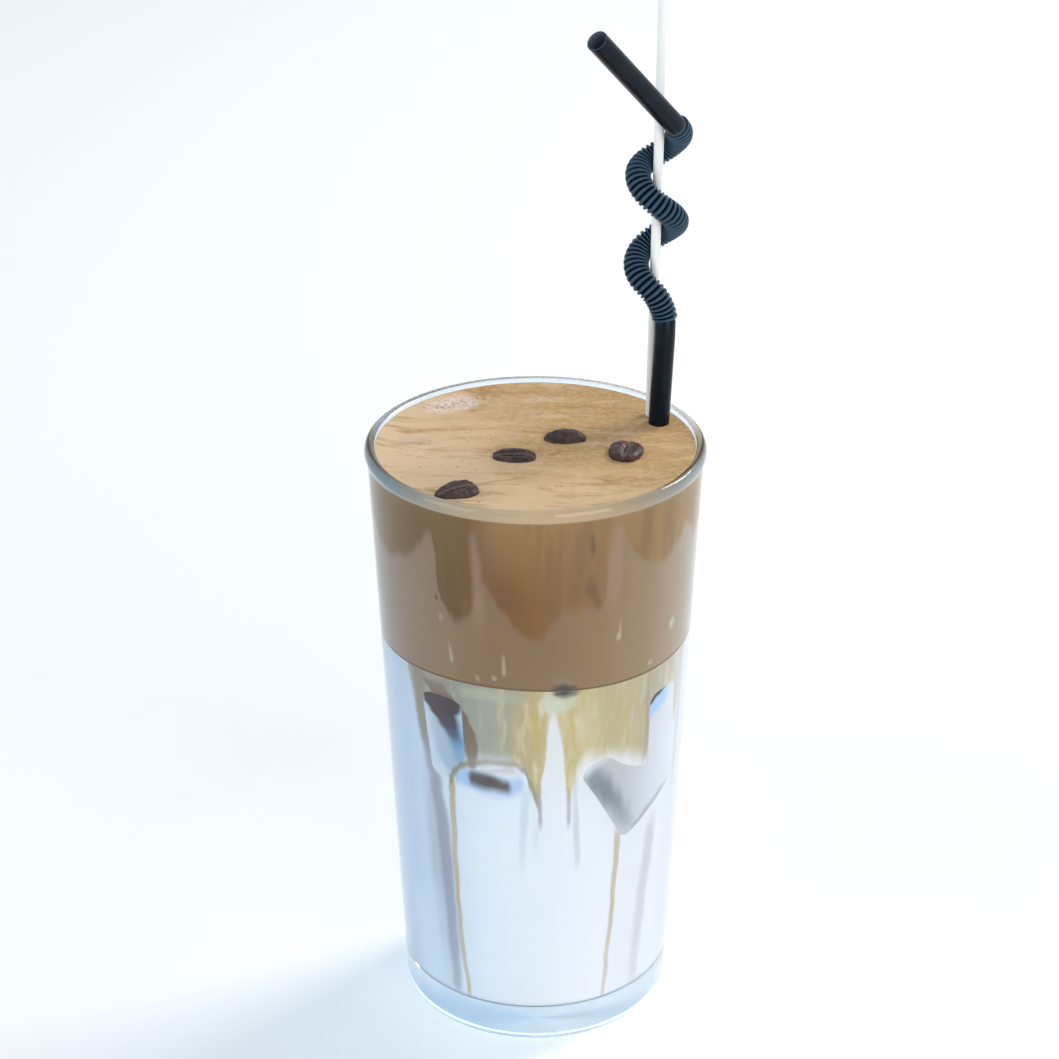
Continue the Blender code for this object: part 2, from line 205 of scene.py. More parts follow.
def turned(name, profile, sides):
    """A solid turned on the glass's axis from (radius, height) points, its ends filled."""
    bpy.ops.object.select_all(action="DESELECT")
    radius, height = profile[0]
    bpy.ops.mesh.primitive_circle_add(vertices=sides, radius=radius, location=(0, 0, height))
    made = bpy.context.object
    made.name = name
    bpy.ops.object.transform_apply(location=True, rotation=False, scale=False)
    bpy.ops.object.mode_set(mode="EDIT")
    for next_radius, next_height in profile[1:]:
        up = {"value": (0.0, 0.0, next_height - height)}
        bpy.ops.mesh.extrude_region_move(TRANSFORM_OT_translate=up)
        wider = next_radius / radius
        bpy.ops.transform.resize(value=(wider, wider, 1.0), center_override=(0, 0, next_height))
        radius, height = next_radius, next_height
    bpy.ops.mesh.select_all(action="SELECT")
    bpy.ops.mesh.fill_holes(sides=0)
    bpy.ops.mesh.select_all(action="SELECT")
    bpy.ops.mesh.normals_make_consistent(inside=False)
    bpy.ops.object.mode_set(mode="OBJECT")
    bpy.ops.object.shade_smooth_by_angle(angle=math.radians(30))
    return made


lip_height = RIM_HEIGHT - LIP_DEPTH
lip_radius = inside_radius(lip_height)
corner_top = FLOOR_HEIGHT + FLOOR_CORNER
profile = []
for share in HOLLOW_SHARES:
    profile.append((FOOT_RING_INNER * share, HOLLOW_HEIGHT * (1.0 - share ** 3)))
profile += arc((outside_radius(FOOT_CORNER) - FOOT_CORNER, FOOT_CORNER),
               (FOOT_CORNER, FOOT_CORNER), -90, 0, 10)
for share in WALL_SHARES:
    height = FOOT_CORNER + (RIM_UNDERSIDE - FOOT_CORNER) * share
    profile.append((outside_radius(height), height))
for share in (0.25, 0.5, 0.75):
    ease = 0.5 - 0.5 * math.cos(math.pi * share)
    profile.append((WALL_TOP + (RIM_WIDEST - WALL_TOP) * ease,
                    RIM_UNDERSIDE + (RIM_WIDEST_HEIGHT - RIM_UNDERSIDE) * share))
profile += arc((RIM_CREST, RIM_WIDEST_HEIGHT),
               (RIM_WIDEST - RIM_CREST, RIM_HEIGHT - RIM_WIDEST_HEIGHT), 0, 90, 8)
profile += arc((RIM_CREST, lip_height), (RIM_CREST - lip_radius, LIP_DEPTH), 90, 180, 8)[1:]
for share in INNER_SHARES:
    height = lip_height + (corner_top - lip_height) * share
    profile.append((inside_radius(height), height))
profile += arc((inside_radius(corner_top) - FLOOR_CORNER, corner_top),
               (FLOOR_CORNER, FLOOR_CORNER), 0, -90, 8)
tumbler = turned("tumbler", profile, GLASS_SIDES)

clear_glass, tree, shader = new_material("clear glass")
place = add_node(tree, "TexCoord").outputs["Object"]
height = add_node(tree, "SeparateXYZ", place).outputs[2]
tint = ramp(tree, height, ((0.0, (0.90, 0.965, 0.99)), (9.0 * MM, (0.95, 0.985, 1.0)),
                           (143.0 * MM, (0.95, 0.98, 0.995)), (145.5 * MM, (0.78, 0.89, 0.94)),
                           (148.0 * MM, (0.76, 0.88, 0.93))))
tint = mix_colours(tree, noise(tree, place, 12.0), tint, (0.97, 0.99, 1.0, 1.0))
tree.links.new(tint, shader.inputs["Base Color"])
smear = add_node(tree, "MapRange", noise(tree, place, 60.0), 0.3, 0.8, 0.0, 0.02)
tree.links.new(smear.outputs[0], shader.inputs["Roughness"])
shader.inputs["Transmission Weight"].default_value = 1.0
shader.inputs["IOR"].default_value = 1.5
unevenness = add_node(tree, "Bump", 0.04, 0.0005)
tree.links.new(noise(tree, place, 45.0, 1.0), unevenness.inputs["Height"])
tree.links.new(unevenness.outputs["Normal"], shader.inputs["Normal"])
# Lamps shine through the glass as through a thin pane
pane = add_node(tree, "BsdfTransparent", (0.95, 0.975, 0.99, 1.0))
is_shadow = add_node(tree, "LightPath").outputs["Is Shadow Ray"]
both = add_node(tree, "MixShader", is_shadow, shader.outputs[0], pane.outputs[0])
tree.links.new(both.outputs[0], tree.nodes["Material Output"].inputs["Surface"])
tumbler.data.materials.append(clear_glass)
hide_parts("glass")
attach(tumbler, "root")


# Milk
# Cold milk fills the lower half of the glass. Coffee poured over it has run down inside the
# glass in fingers and thin streaks, and in places it lies between the ice and the glass.
def calc(tree, operation, *values):
    """One step of arithmetic on sockets and numbers."""
    return add_node(tree, "Math", *values, operation=operation).outputs[0]


def fade(tree, value, start, end):
    """0 at the start, 1 at the end and smooth between them."""
    made = add_node(tree, "MapRange", value, start, end, interpolation_type="SMOOTHSTEP")
    return made.outputs[0]


# A ramp's colour channels go from 0 to 1 and carry millimetres and degrees from 0 to this
CHANNEL_SPAN = 200.0


def profile_of(tree, value, stops):
    """A height in millimetres that follows a value, from (value, height) stops."""
    shades = [(at, (height / CHANNEL_SPAN, 0.0, 0.0)) for at, height in stops]
    red = add_node(tree, "SeparateColor", ramp(tree, value, shades)).outputs[0]
    return calc(tree, "MULTIPLY", red, CHANNEL_SPAN)


def streak(tree, along, across, edge, points):
    """How strongly a streak shows, from 0 to 1.

    Its points are (place along it, place across it, half width, strength), and its edge is
    as wide as given."""
    stops = [(at, (place / CHANNEL_SPAN, half_width / CHANNEL_SPAN, strength))
             for at, place, half_width, strength in points]
    parts = add_node(tree, "SeparateColor", ramp(tree, along, stops, True)).outputs
    middle = calc(tree, "MULTIPLY", parts[0], CHANNEL_SPAN)
    away = calc(tree, "ABSOLUTE", calc(tree, "SUBTRACT", across, middle))
    away = calc(tree, "MULTIPLY_ADD", parts[1], -CHANNEL_SPAN, away)
    return calc(tree, "MULTIPLY", fade(tree, away, edge / 2, -edge / 2), parts[2])


def painted(tree, colour, angle, height, streaks):
    """A colour with streaks over it, each (way it runs, edge, colour, points)."""
    for way, edge, shade, points in streaks:
        along, across = (height, angle) if way == "down" else (angle, height)
        mask = streak(tree, along, across, edge, points)
        colour = mix_colours(tree, mask, colour, (*shade, 1.0))
    return colour


def wall_place(tree):
    """Place, angle in degrees from 0 at the left over 90 in front to 180, and height in mm.

    The far half of the wall takes the near half's angles, so that both look alike."""
    place = add_node(tree, "TexCoord").outputs["Object"]
    x, y, z = add_node(tree, "SeparateXYZ", place).outputs
    angle = calc(tree, "ARCTAN2", x, calc(tree, "ABSOLUTE", y))
    angle = calc(tree, "MULTIPLY_ADD", angle, 180 / math.pi, 90.0)
    return place, angle, calc(tree, "MULTIPLY", z, 1000.0)


# How low the stain reaches at each angle: fingers left and right of a white gap
STAIN_LEVELS = ((0, 80), (6, 84), (14, 104), (33, 104), (41, 82), (45, 76), (56, 77.5),
                (60, 78.5), (66, 79.5), (78, 80), (84, 79), (87.5, 75.5), (89.8, 70.5),
                (91.8, 67.5), (93, 74), (94.2, 85), (95.6, 92), (97, 94), (98.4, 92),
                (100, 84), (101.4, 75), (103, 67.5), (104.4, 72), (106, 77), (110, 80.5),
                (121, 79.5), (129, 78), (137.5, 75), (158, 80), (163, 103), (174, 104), (180, 80))
STAIN_COLOURS = ((0, (0.40, 0.40, 0.37)), (40, (0.40, 0.39, 0.33)), (56, (0.32, 0.31, 0.26)),
                 (63, (0.34, 0.36, 0.295)), (72, (0.37, 0.38, 0.33)), (79, (0.40, 0.38, 0.275)),
                 (86, (0.49, 0.40, 0.23)), (92, (0.54, 0.45, 0.24)), (97, (0.62, 0.58, 0.44)),
                 (100, (0.60, 0.52, 0.31)), (103, (0.56, 0.46, 0.22)), (109, (0.60, 0.53, 0.33)),
                 (118, (0.53, 0.455, 0.26)), (129, (0.55, 0.475, 0.28)), (137, (0.475, 0.42, 0.30)),
                 (158, (0.57, 0.55, 0.48)), (180, (0.46, 0.46, 0.42)))
# The milk by angle, darker and bluer to the left and darker at both sides: painted shade
MILK_COLOURS_AND_SHADE = ((0, (0.58, 0.68, 0.79)), (30, (0.54, 0.66, 0.79)), (50, (0.66, 0.755, 0.85)),
                (66, (0.73, 0.785, 0.845)), (90, (0.74, 0.775, 0.81)), (120, (0.80, 0.82, 0.86)),
                (148, (0.76, 0.79, 0.84)), (162, (0.66, 0.70, 0.76)), (180, (0.58, 0.64, 0.72)))
OLIVE = (0.30, 0.27, 0.21)
MAUVE = (0.33, 0.35, 0.43)
TAN = (0.53, 0.44, 0.31)
UMBER = (0.19, 0.13, 0.09)
GREY = (0.50, 0.53, 0.56)
ARC_OVER_ICE = ("round", 1.4, (0.30, 0.27, 0.20), (
    (53.0, 69, 1.0, 0), (55.0, 72.6, 1.5, 0.9), (57.5, 75.9, 1.1, 0.9), (60.5, 77.9, 0.9, 0.9),
    (66, 79.3, 0.8, 0.7), (72.4, 80.2, 0.7, 0.6), (82.2, 80.4, 0.8, 0.6), (86, 79, 1.0, 0.8),
    (88.6, 75, 1.7, 0.8), (90.6, 70.7, 2.2, 0.8), (92, 67, 1.0, 0)))
TAIL_UNDER_ICE = ("down", 1.6, (0.56, 0.64, 0.72), (
    (47, 84.4, 0.8, 0), (56, 84.8, 1.2, 0.6), (64, 85.4, 1.5, 0.8), (72, 86.2, 1.6, 0.6),
    (76, 87, 1, 0)))
# Each streak: the way it runs, the width of its edge, its colour, and its points
STAINS = (
    # beside the ice at the left: an olive band, paler milk, a mauve band, and umber at the ice
    ("down", 3.0, OLIVE, (
        (70, 47, 2.5, 0), (76, 44.0, 2.2, 0.5), (82, 42.2, 2.2, 0.8), (90, 41.2, 2.6, 0.8),
        (98, 41, 3, 0.9), (100, 41, 3.5, 0.9))),
    ("down", 12.0, (0.70, 0.78, 0.87), (
        (8, 36, 8.0, 0.3), (14, 36, 8.0, 0.8), (28, 36, 8.0, 0.7), (42, 36, 6.0, 0))),
    ("down", 6.0, (0.44, 0.49, 0.58), (
        (8, 50.0, 2.0, 0), (14, 50.0, 3.0, 0.2), (30, 48.5, 4.0, 0.45), (50, 46.5, 5.0, 0.75),
        (64, 45.0, 4.0, 0.7), (76, 43, 2.0, 0.3), (82, 42, 1, 0))),
    ("down", 3.5, MAUVE, (
        (8, 53.5, 2.0, 0), (13, 53.2, 2.2, 0.7), (26, 52.4, 2.8, 0.8), (46, 51.2, 3.2, 0.9),
        (60, 49.8, 3.2, 0.9), (70, 47.6, 3.0, 0.9), (80, 44.5, 2.2, 0.6), (90, 42, 1.0, 0))),
    ("down", 2.0, UMBER, (
        (75, 64, 0.6, 0), (78.5, 65.0, 1.7, 0.7), (83, 64.8, 2.7, 0.8), (87, 63.7, 3.2, 0.85),
        (91, 60.5, 3.6, 0.9), (95, 53, 5.5, 0.9), (97.5, 49, 5.5, 0.6), (99.5, 48, 5.0, 0))),
    # down from the corner of the ice at the left
    ("down", 1.0, TAN, (
        (8, 59.5, 0.8, 0), (12.5, 59.2, 1.0, 0.8), (27, 56.7, 1.2, 0.75), (40, 56.0, 1.0, 1),
        (56, 55.4, 1.3, 0.85), (72, 55.5, 1.4, 1), (75.5, 56.4, 1.0, 0))),
    # down from the ice at the right
    ("down", 1.0, TAN, (
        (8, 120.8, 0.8, 0), (11.5, 120.9, 1.0, 0.55), (21, 122.2, 1.1, 0.65),
        (38, 123.9, 1.1, 0.85), (56, 124.8, 1.4, 0.8), (61, 125.2, 1.2, 0))),
    ("down", 4.0, (0.50, 0.49, 0.52), (
        (8, 137, 2, 0), (14, 138, 2.6, 0.4), (32, 140.0, 3.0, 0.55), (52, 143.5, 3.2, 0.65),
        (62, 146, 2, 0))),
    # the stained rim over the ice in the middle
    ARC_OVER_ICE,
    # thin tails under the fingers
    ("down", 1.2, (0.36, 0.33, 0.38), (
        (61, 92.0, 0.4, 0), (65, 91.9, 0.7, 0.8), (70, 91.5, 0.8, 0.7), (77, 91.0, 0.6, 0))),
    TAIL_UNDER_ICE,
    ("down", 1.4, (0.60, 0.68, 0.75), ((54, 90, 0.8, 0), (60, 90.2, 1.2, 0.6), (66, 90.4, 1, 0))),
    ("down", 1.2, (0.38, 0.34, 0.42), (
        (61, 103.4, 0.5, 0), (65, 103.2, 0.7, 0.8), (70, 103.0, 0.8, 0.6), (75, 102.8, 0.6, 0))),
    ("down", 1.4, (0.55, 0.59, 0.63), (
        (48, 107, 1, 0), (54, 106.8, 1.3, 0.7), (62, 106.2, 1.2, 0.8), (72, 105.5, 1, 0.5),
        (78, 106, 0.8, 0))),
    # brown lines beside the ice at the right, and a grey one beyond it
    ("down", 1.2, (0.40, 0.33, 0.24), (
        (74, 137.2, 0.5, 0), (78, 137.2, 0.8, 0.6), (88, 137.1, 0.9, 0.8), (95, 136.6, 1.0, 0.6),
        (100, 136, 1, 0))),
    ("down", 2.0, GREY, (
        (56, 161, 1.2, 0), (66, 161.5, 1.6, 0.5), (80, 161.5, 1.8, 0.7), (99, 161.5, 1.8, 0.7))),
    ("round", 1.3, (0.05, 0.05, 0.05), (
        (95.5, 99.9, 0.3, 0), (98, 99.6, 0.8, 0.9), (101, 99.2, 1.3, 1), (104.5, 99.4, 0.8, 0.8),
        (108, 99.8, 0.3, 0))),
    # pale under the dark lump, and under the froth at the left
    ("round", 2.5, (0.62, 0.67, 0.56), (
        (92, 97, 0.5, 0), (95, 96.5, 2.0, 0.8), (100, 96.5, 2.2, 0.8), (105, 97.5, 1.5, 0.5),
        (108, 98, 1, 0))),
    ("round", 2.0, (0.46, 0.50, 0.38), (
        (58, 98.6, 0.5, 0), (64, 98.4, 1.3, 0.7), (76, 98.2, 1.4, 0.7), (84, 98.2, 1, 0.4),
        (88, 98.5, 1, 0))),
    ("down", 2.4, (0.52, 0.43, 0.12), (
        (82, 91, 0.8, 0), (87, 90.6, 1.2, 0.7), (93, 89.8, 1.6, 0.8), (98, 89, 0.8, 0))),
)
# Flecks of paler milk in the stain
PALE_STAIN = (0.85, 0.83, 0.72, 1.0)
# The milk's rounded lower edge looks dark through the thick foot, between these heights in mm
FOOT_BAND_TOP = (10.5, 10.1)
FOOT_BAND_BOTTOM = (9.4, 9.7)
FOOT_SHADE = (0.26, 0.34, 0.40, 1.0)


def stained_milk():
    """The colour of the milk, with painted shade on it, and of the coffee that has run down into
    it.
    """
    group = bpy.data.node_groups.new("stained milk", "ShaderNodeTree")
    group.interface.new_socket("Color", in_out="OUTPUT", socket_type="NodeSocketColor")
    place, angle, height = wall_place(group)
    lumps = calc(group, "SUBTRACT", noise(group, place, 110.0), 0.5)
    drawn = add_node(group, "Mapping", place, None, None, (1.0, 1.0, 0.25)).outputs[0]
    fine = calc(group, "SUBTRACT", noise(group, drawn, 420.0), 0.5)
    bent = calc(group, "MULTIPLY_ADD", lumps, 4.0, angle)
    above = calc(group, "SUBTRACT", height, profile_of(group, bent, STAIN_LEVELS))
    above = calc(group, "MULTIPLY_ADD", fine, 3.5, above)
    mottled = calc(group, "MULTIPLY_ADD", fine, 26.0, bent)
    stain = ramp(group, mottled, STAIN_COLOURS)
    paler = mix_colours(group, 0.2, stain, PALE_STAIN)
    stain = mix_colours(group, fade(group, fine, 0.02, 0.16), stain, paler)
    colour = mix_colours(group, fade(group, above, -2.5, 4.5),
                         ramp(group, angle, MILK_COLOURS_AND_SHADE), stain)
    bent = calc(group, "MULTIPLY_ADD", lumps, 2.0, angle)
    level = calc(group, "MULTIPLY_ADD", lumps, 1.5, height)
    colour = painted(group, colour, bent, level, STAINS)
    foot_band = calc(group, "MULTIPLY", fade(group, height, *FOOT_BAND_TOP),
                     fade(group, height, *FOOT_BAND_BOTTOM))
    colour = mix_colours(group, foot_band, colour, FOOT_SHADE)
    output = group.nodes.new("NodeGroupOutput")
    group.links.new(colour, output.inputs[0])
    return group


milk_colours_and_shade = stained_milk()


def milky_material(name):
    """Milk or stained milk: opaque, and soft because light sinks in."""
    made, tree, shader = new_material(name)
    colours = tree.nodes.new("ShaderNodeGroup")
    colours.node_tree = milk_colours_and_shade
    tree.links.new(colours.outputs[0], shader.inputs["Base Color"])
    shader.inputs["Roughness"].default_value = 0.4
    shader.inputs["Specular IOR Level"].default_value = 0.0
    shader.inputs["Subsurface Weight"].default_value = 0.2
    shader.inputs["Subsurface Radius"].default_value = (1.0, 0.8, 0.6)
    shader.inputs["Subsurface Scale"].default_value = 1.5 * MM
    return made


DRINK_SIDES = 160
CONTACT = 0.12 * MM
FLAT_SHARES = (0.35, 0.7, 0.9)
SURFACE_SHARES = (0.92, 0.8, 0.6, 0.3, 0.1)
MILK_LEVEL = 81.0 * MM
MILK_SWELL = 1.5 * MM
FINGER_REACH = 3
# Fingers of coffee at the wall: angle from the front, half width, drop from the level in mm
FINGERS = ((-62, 9, 4.0), (-31, 9, 5.0), (-9, 7, 8.0), (7, 6, -11.0), (19, 7, 9.0),
           (41, 10, 8.5), (63, 9, -3.0), (105, 8, -4.0), (131, 9, 6.0), (155, 8, -4.0),
           (180, 9, 6.0), (-156, 8, -4.0), (-131, 9, 6.0), (-107, 8, -4.0))


def milk_surface(angle, share):
    """Height of the milk at an angle, a share of the way out to the glass."""
    from_front = math.degrees(angle) + 90.0
    drop = 0.0
    for middle, half_width, depth in FINGERS:
        away = (from_front - middle + 180.0) % 360.0 - 180.0
        drop += depth * MM * math.exp(-(away / half_width) ** 2)
    swell = MILK_SWELL * math.sin(2 * angle + 0.6) * share
    return MILK_LEVEL + swell - drop * share ** FINGER_REACH


def drink_layer(name, start, low_surface, high_surface, shares):
    """A turned layer of the drink that reaches just into the glass's wall.

    Its rings up to the wall come from start or from a lower surface, and its upper face
    has a ring at each share of the way to the glass. Rings on an uneven surface get their
    heights from it."""
    outline = list(start)
    if low_surface:
        outline = [(share, low_surface) for share in sorted(shares)] + [(1.0, low_surface)]
    outline.append((1.0, high_surface))
    outline += [(share, high_surface) for share in shares]
    flat = []
    for across, level in outline:
        if callable(level):
            flat.append((across * (inside_radius(level(0.0, 1.0)) + CONTACT),
                         level(0.0, 1.0) + (0.01 * MM if level is high_surface else 0.0)))
        else:
            flat.append((across, level))
    made = turned(name, flat, DRINK_SIDES)
    first = 0
    for across, level in outline:
        if callable(level):
            for vertex in made.data.vertices[first:first + DRINK_SIDES]:
                angle = math.atan2(vertex.co.y, vertex.co.x)
                height = level(angle, across)
                radius = across * (inside_radius(height) + CONTACT)
                vertex.co = (radius * math.cos(angle), radius * math.sin(angle), height)
        first += DRINK_SIDES
    return made


corner = FLOOR_CORNER + CONTACT
milk_start = [(share * (inside_radius(corner_top) - FLOOR_CORNER), FLOOR_HEIGHT - CONTACT)
              for share in FLAT_SHARES]
milk_start += arc((inside_radius(corner_top) - FLOOR_CORNER, corner_top),
                  (corner, corner), -90, 0, 6)
milk = drink_layer("cold_milk", milk_start, None, milk_surface, SURFACE_SHARES)
milk.data.materials.append(milky_material("cold milk"))
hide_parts("milk")
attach(milk, "root")


# Stained layer
# Between milk and froth the two have mixed: milk stained with coffee, drawn out at the
# glass into the fingers that hang down into the milk.
FROTH_UNDERSIDE = 100.1 * MM
FROTH_UNDERSIDE_WAVE = 0.5 * MM
FROTH_UNDERSIDE_DOME = 0.8 * MM


def froth_underside(angle, share):
    """Height of the froth's underside at an angle, a share of the way out to the glass."""
    wave = FROTH_UNDERSIDE_WAVE * math.sin(3 * angle + 1.0) * share
    return FROTH_UNDERSIDE + wave + FROTH_UNDERSIDE_DOME * (1 - share ** 2)


stained = drink_layer("stained_milk", (), milk_surface, froth_underside, SURFACE_SHARES)
stained.data.materials.append(milky_material("stained milk"))
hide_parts("coffee_milk_mix")
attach(stained, "root")


# Ice cubes
# Ice cubes from a tray, rounded by melting, float crowded under the froth. Where one lies
# against the glass it shows through: clouded white with painted blue shading, and painted dark at
# its top where the coffee over it would show through clear ice.
ICE_ROUNDING = 2.2 * MM
ICE_CONTACT = 0.20 * MM
ICE_CONTACT_STEP = 0.02 * MM
ICE_TOP = 99.3 * MM
ICE_SMOOTH_ANGLE = 12
# Each cube: angle from the front, distance from the axis, height, tilts in degrees, size
CUBES = ((-35.15, 21.3, 85.4, (-5.9, -2.3, 80.6), (27.0, 22.4, 22.0)),
         (60.1, 23.0, 81.25, (2.8, -0.2, 12.3), (21.5, 24.3, 23.8)),
         (38.9, 24.5, 68.4, (-23.2, -25.7, 63.1), (18.9, 22.7, 24.2)),
         (-15.3, 25.2, 71.3, (-9.6, -54.1, 74.6), (22.1, 17.5, 22.6)))
# The ice by angle, with painted blue shading
ICE_COLOURS_AND_SHADE = ((0, (0.72, 0.80, 0.88)), (42, (0.60, 0.68, 0.77)), (50, (0.44, 0.55, 0.66)),
               (58, (0.37, 0.50, 0.63)), (66, (0.54, 0.65, 0.76)), (69, (0.72, 0.79, 0.87)),
               (95, (0.75, 0.80, 0.86)), (104, (0.60, 0.64, 0.68)), (115, (0.50, 0.53, 0.56)),
               (128, (0.55, 0.58, 0.61)), (138, (0.64, 0.67, 0.74)), (160, (0.70, 0.73, 0.80)),
               (180, (0.70, 0.76, 0.82)))
ICE_STAINS_AND_SHADE = (
    # as white as the milk round them lower down
    ("down", 3.0, (0.73, 0.785, 0.845), (
        (40, 66, 10, 1), (68, 66, 10, 1), (75, 67, 8.0, 1), (77.5, 68, 6.0, 0.8), (80, 70, 4, 0))),
    ("down", 6.0, (0.735, 0.78, 0.82), (
        (40, 86, 8, 1), (62, 86, 8, 1), (68, 86, 8, 0.6), (74, 86, 6, 0))),
    ("down", 5.0, (0.70, 0.765, 0.845), (
        (60, 52, 4, 0), (70, 51, 5, 0.8), (74, 50, 5, 0.7), (80, 47, 2.0, 0.6),
        (88, 44.8, 1.4, 0.7), (93, 45, 1, 0))),
    # the cube at the left: painted blue shading, and painted nearly black at its top where the dark
    # froth above would show through the ice
    ("down", 4.0, (0.14, 0.32, 0.52), (
        (76, 60.0, 1.5, 0), (80.5, 59.5, 2.6, 0.6), (84, 58.5, 3.4, 0.9), (88, 56.5, 4.0, 0.8),
        (93, 54, 4, 0))),
    ("down", 3.0, (0.075, 0.055, 0.065), (
        (82.5, 58.5, 1.5, 0), (85.5, 56.8, 2.8, 0.75), (88, 54.8, 4.2, 0.95),
        (90.5, 52.5, 6.0, 1), (92.5, 52, 9.0, 1), (97, 52, 12.0, 1))),
    # the cube in the middle: a painted blue top edge with a painted dark line in it, under the
    # stained rim
    ("round", 3.2, (0.34, 0.52, 0.78), (
        (57, 74.5, 1.0, 0), (60, 74.6, 2.0, 0.8), (64, 74.6, 2.6, 0.9), (74, 73.6, 2.8, 0.5),
        (80, 73.6, 2.4, 0.8), (83.5, 74.5, 2.0, 0.8), (87, 75, 1, 0))),
    ("round", 2.8, (0.10, 0.08, 0.07), (
        (62.3, 75.2, 1.0, 0), (64.8, 75.0, 1.9, 0.95), (72, 74.6, 2.1, 1),
        (78.5, 73.8, 1.6, 0.95), (81.5, 73.6, 1.0, 0))),
    ("round", 1.6, (0.58, 0.58, 0.56), (
        (60, 77.5, 0.6, 0), (66, 78.3, 1.1, 0.8), (80, 78.6, 1.1, 0.8), (86, 77.5, 0.6, 0))),
    ARC_OVER_ICE,
    TAIL_UNDER_ICE,
    # the tilted face of the cube at the right, darkest along its left edge
    ("round", 7.0, (0.23, 0.26, 0.28), (
        (103, 77, 1.5, 0), (108, 76, 2.6, 0.7), (114, 73.5, 3.8, 0.95), (119, 70.5, 4.0, 1),
        (124, 66.5, 3.6, 0.8), (129, 62, 3.0, 0.5), (135, 59, 2, 0))),
    ("round", 3.5, (0.70, 0.74, 0.79), (
        (104, 76.5, 1.0, 0), (109, 77.5, 2.0, 0.85), (114, 80.5, 2.2, 0.9), (119, 81.5, 2.0, 0.8),
        (128, 80, 1, 0))),
    ("round", 2.0, (0.38, 0.40, 0.39), (
        (130, 57.2, 0.6, 0), (134, 58, 1.0, 0.8), (141, 60.8, 1.2, 0.8), (150, 63.4, 1.2, 0.7),
        (157, 65, 0.8, 0))),
    # the cube at the right: a painted blue top with a painted dark edge
    ("round", 2.6, (0.34, 0.58, 0.95), (
        (137, 88, 1, 0), (140, 89.0, 2.2, 0.8), (147, 91.0, 2.4, 0.8), (153, 92, 1.6, 0))),
    ("round", 1.2, (0.035, 0.055, 0.06), (
        (135.5, 90.6, 0.8, 0), (138, 91.2, 1.4, 1), (143, 93, 1.5, 1), (148.5, 94.4, 1.5, 0.9),
        (152.5, 95.2, 1.0, 0))),
)

ice_white_and_shade, tree, shader = new_material("clouded ice")
place, angle, height = wall_place(tree)
lumps = calc(tree, "SUBTRACT", noise(tree, place, 140.0), 0.5)
bent = calc(tree, "MULTIPLY_ADD", lumps, 3.0, angle)
level = calc(tree, "MULTIPLY_ADD", lumps, 1.5, height)
ice_colour_and_shade = painted(tree, ramp(tree, bent, ICE_COLOURS_AND_SHADE), bent, level, ICE_STAINS_AND_SHADE)
tree.links.new(ice_colour_and_shade, shader.inputs["Base Color"])
shader.inputs["Roughness"].default_value = 0.3
shader.inputs["Specular IOR Level"].default_value = 0.0
shader.inputs["Subsurface Weight"].default_value = 0.15
shader.inputs["Subsurface Scale"].default_value = 1.5 * MM
number = 0
for from_front, out, height, tilts, size in CUBES:
    reach = ICE_CONTACT + (len(CUBES) - number // 2) * ICE_CONTACT_STEP
    bore = turned("bore", [(inside_radius(corner_top) * 0.9, corner_top),
                           (inside_radius(corner_top) + reach, corner_top),
                           (inside_radius(ICE_TOP) + reach, ICE_TOP)], DRINK_SIDES)
    for side in (-1, 1):
        number += 1
        bpy.ops.object.select_all(action="DESELECT")
        bpy.ops.mesh.primitive_cube_add(size=1.0)
        cube = bpy.context.object
        cube.name = f"ice_cube_{number}"
        cube.scale = Vector(size) * MM
        bpy.ops.object.transform_apply(location=False, rotation=False, scale=True)
        rounded = cube.modifiers.new("rounded", "BEVEL")
        rounded.width = ICE_ROUNDING
        rounded.segments = 4
        bpy.ops.object.modifier_apply(modifier=rounded.name)
        turn = math.radians(from_front)
        cube.rotation_euler = [math.radians(tilt) for tilt in tilts]
        cube.location = (out * MM * math.sin(turn), -out * MM * math.cos(turn), height * MM)
        bpy.ops.object.transform_apply(location=True, rotation=True, scale=False)
        if side == 1:
            # the far side of the glass has cubes too, as the near side's in a mirror
            cube.scale = (1.0, -1.0, 1.0)
            bpy.ops.object.transform_apply(location=False, rotation=False, scale=True)
            bpy.ops.object.mode_set(mode="EDIT")
            bpy.ops.mesh.select_all(action="SELECT")
            bpy.ops.mesh.normals_make_consistent(inside=False)
            bpy.ops.object.mode_set(mode="OBJECT")
        trimmed = cube.modifiers.new("against the glass", "BOOLEAN")
        trimmed.operation = "INTERSECT"
        trimmed.object = bore
        bpy.ops.object.modifier_apply(modifier=trimmed.name)
        bpy.ops.object.shade_smooth_by_angle(angle=math.radians(ICE_SMOOTH_ANGLE))
        cube.data.materials.clear()
        cube.data.materials.append(ice_white_and_shade)
        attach(cube, "root")
    bpy.data.objects.remove(bore)


# Froth
# Thick fine coffee froth fills the upper half to just under the rim. Its top has faint
# flow lines and small bubbles, and through the glass darker coffee hangs in it in tongues.
FROTH_LEVEL = 146.0 * MM
FROTH_RELIEF = 0.2 * MM
FROTH_CLIMB = 0.4 * MM
FROTH_CLIMB_FROM = 0.86
FROTH_SHARES = tuple(np.linspace(0.98, 0.02, 49))


def froth_surface(angle, share):
    """Height of the froth's top: low swirls, higher where it clings to the glass."""
    across = share * math.cos(angle)
    along = share * math.sin(angle)
    swirl = math.sin(9.0 * along + 2.5 * math.sin(2.2 * across + 0.4))
    swell = math.sin(3.1 * across - 1.7 * along + 1.2)
    edge = max(0.0, share - FROTH_CLIMB_FROM) / (1 - FROTH_CLIMB_FROM)
    return FROTH_LEVEL + FROTH_RELIEF * (swirl + swell) * (1 - edge) + FROTH_CLIMB * edge ** 1.6


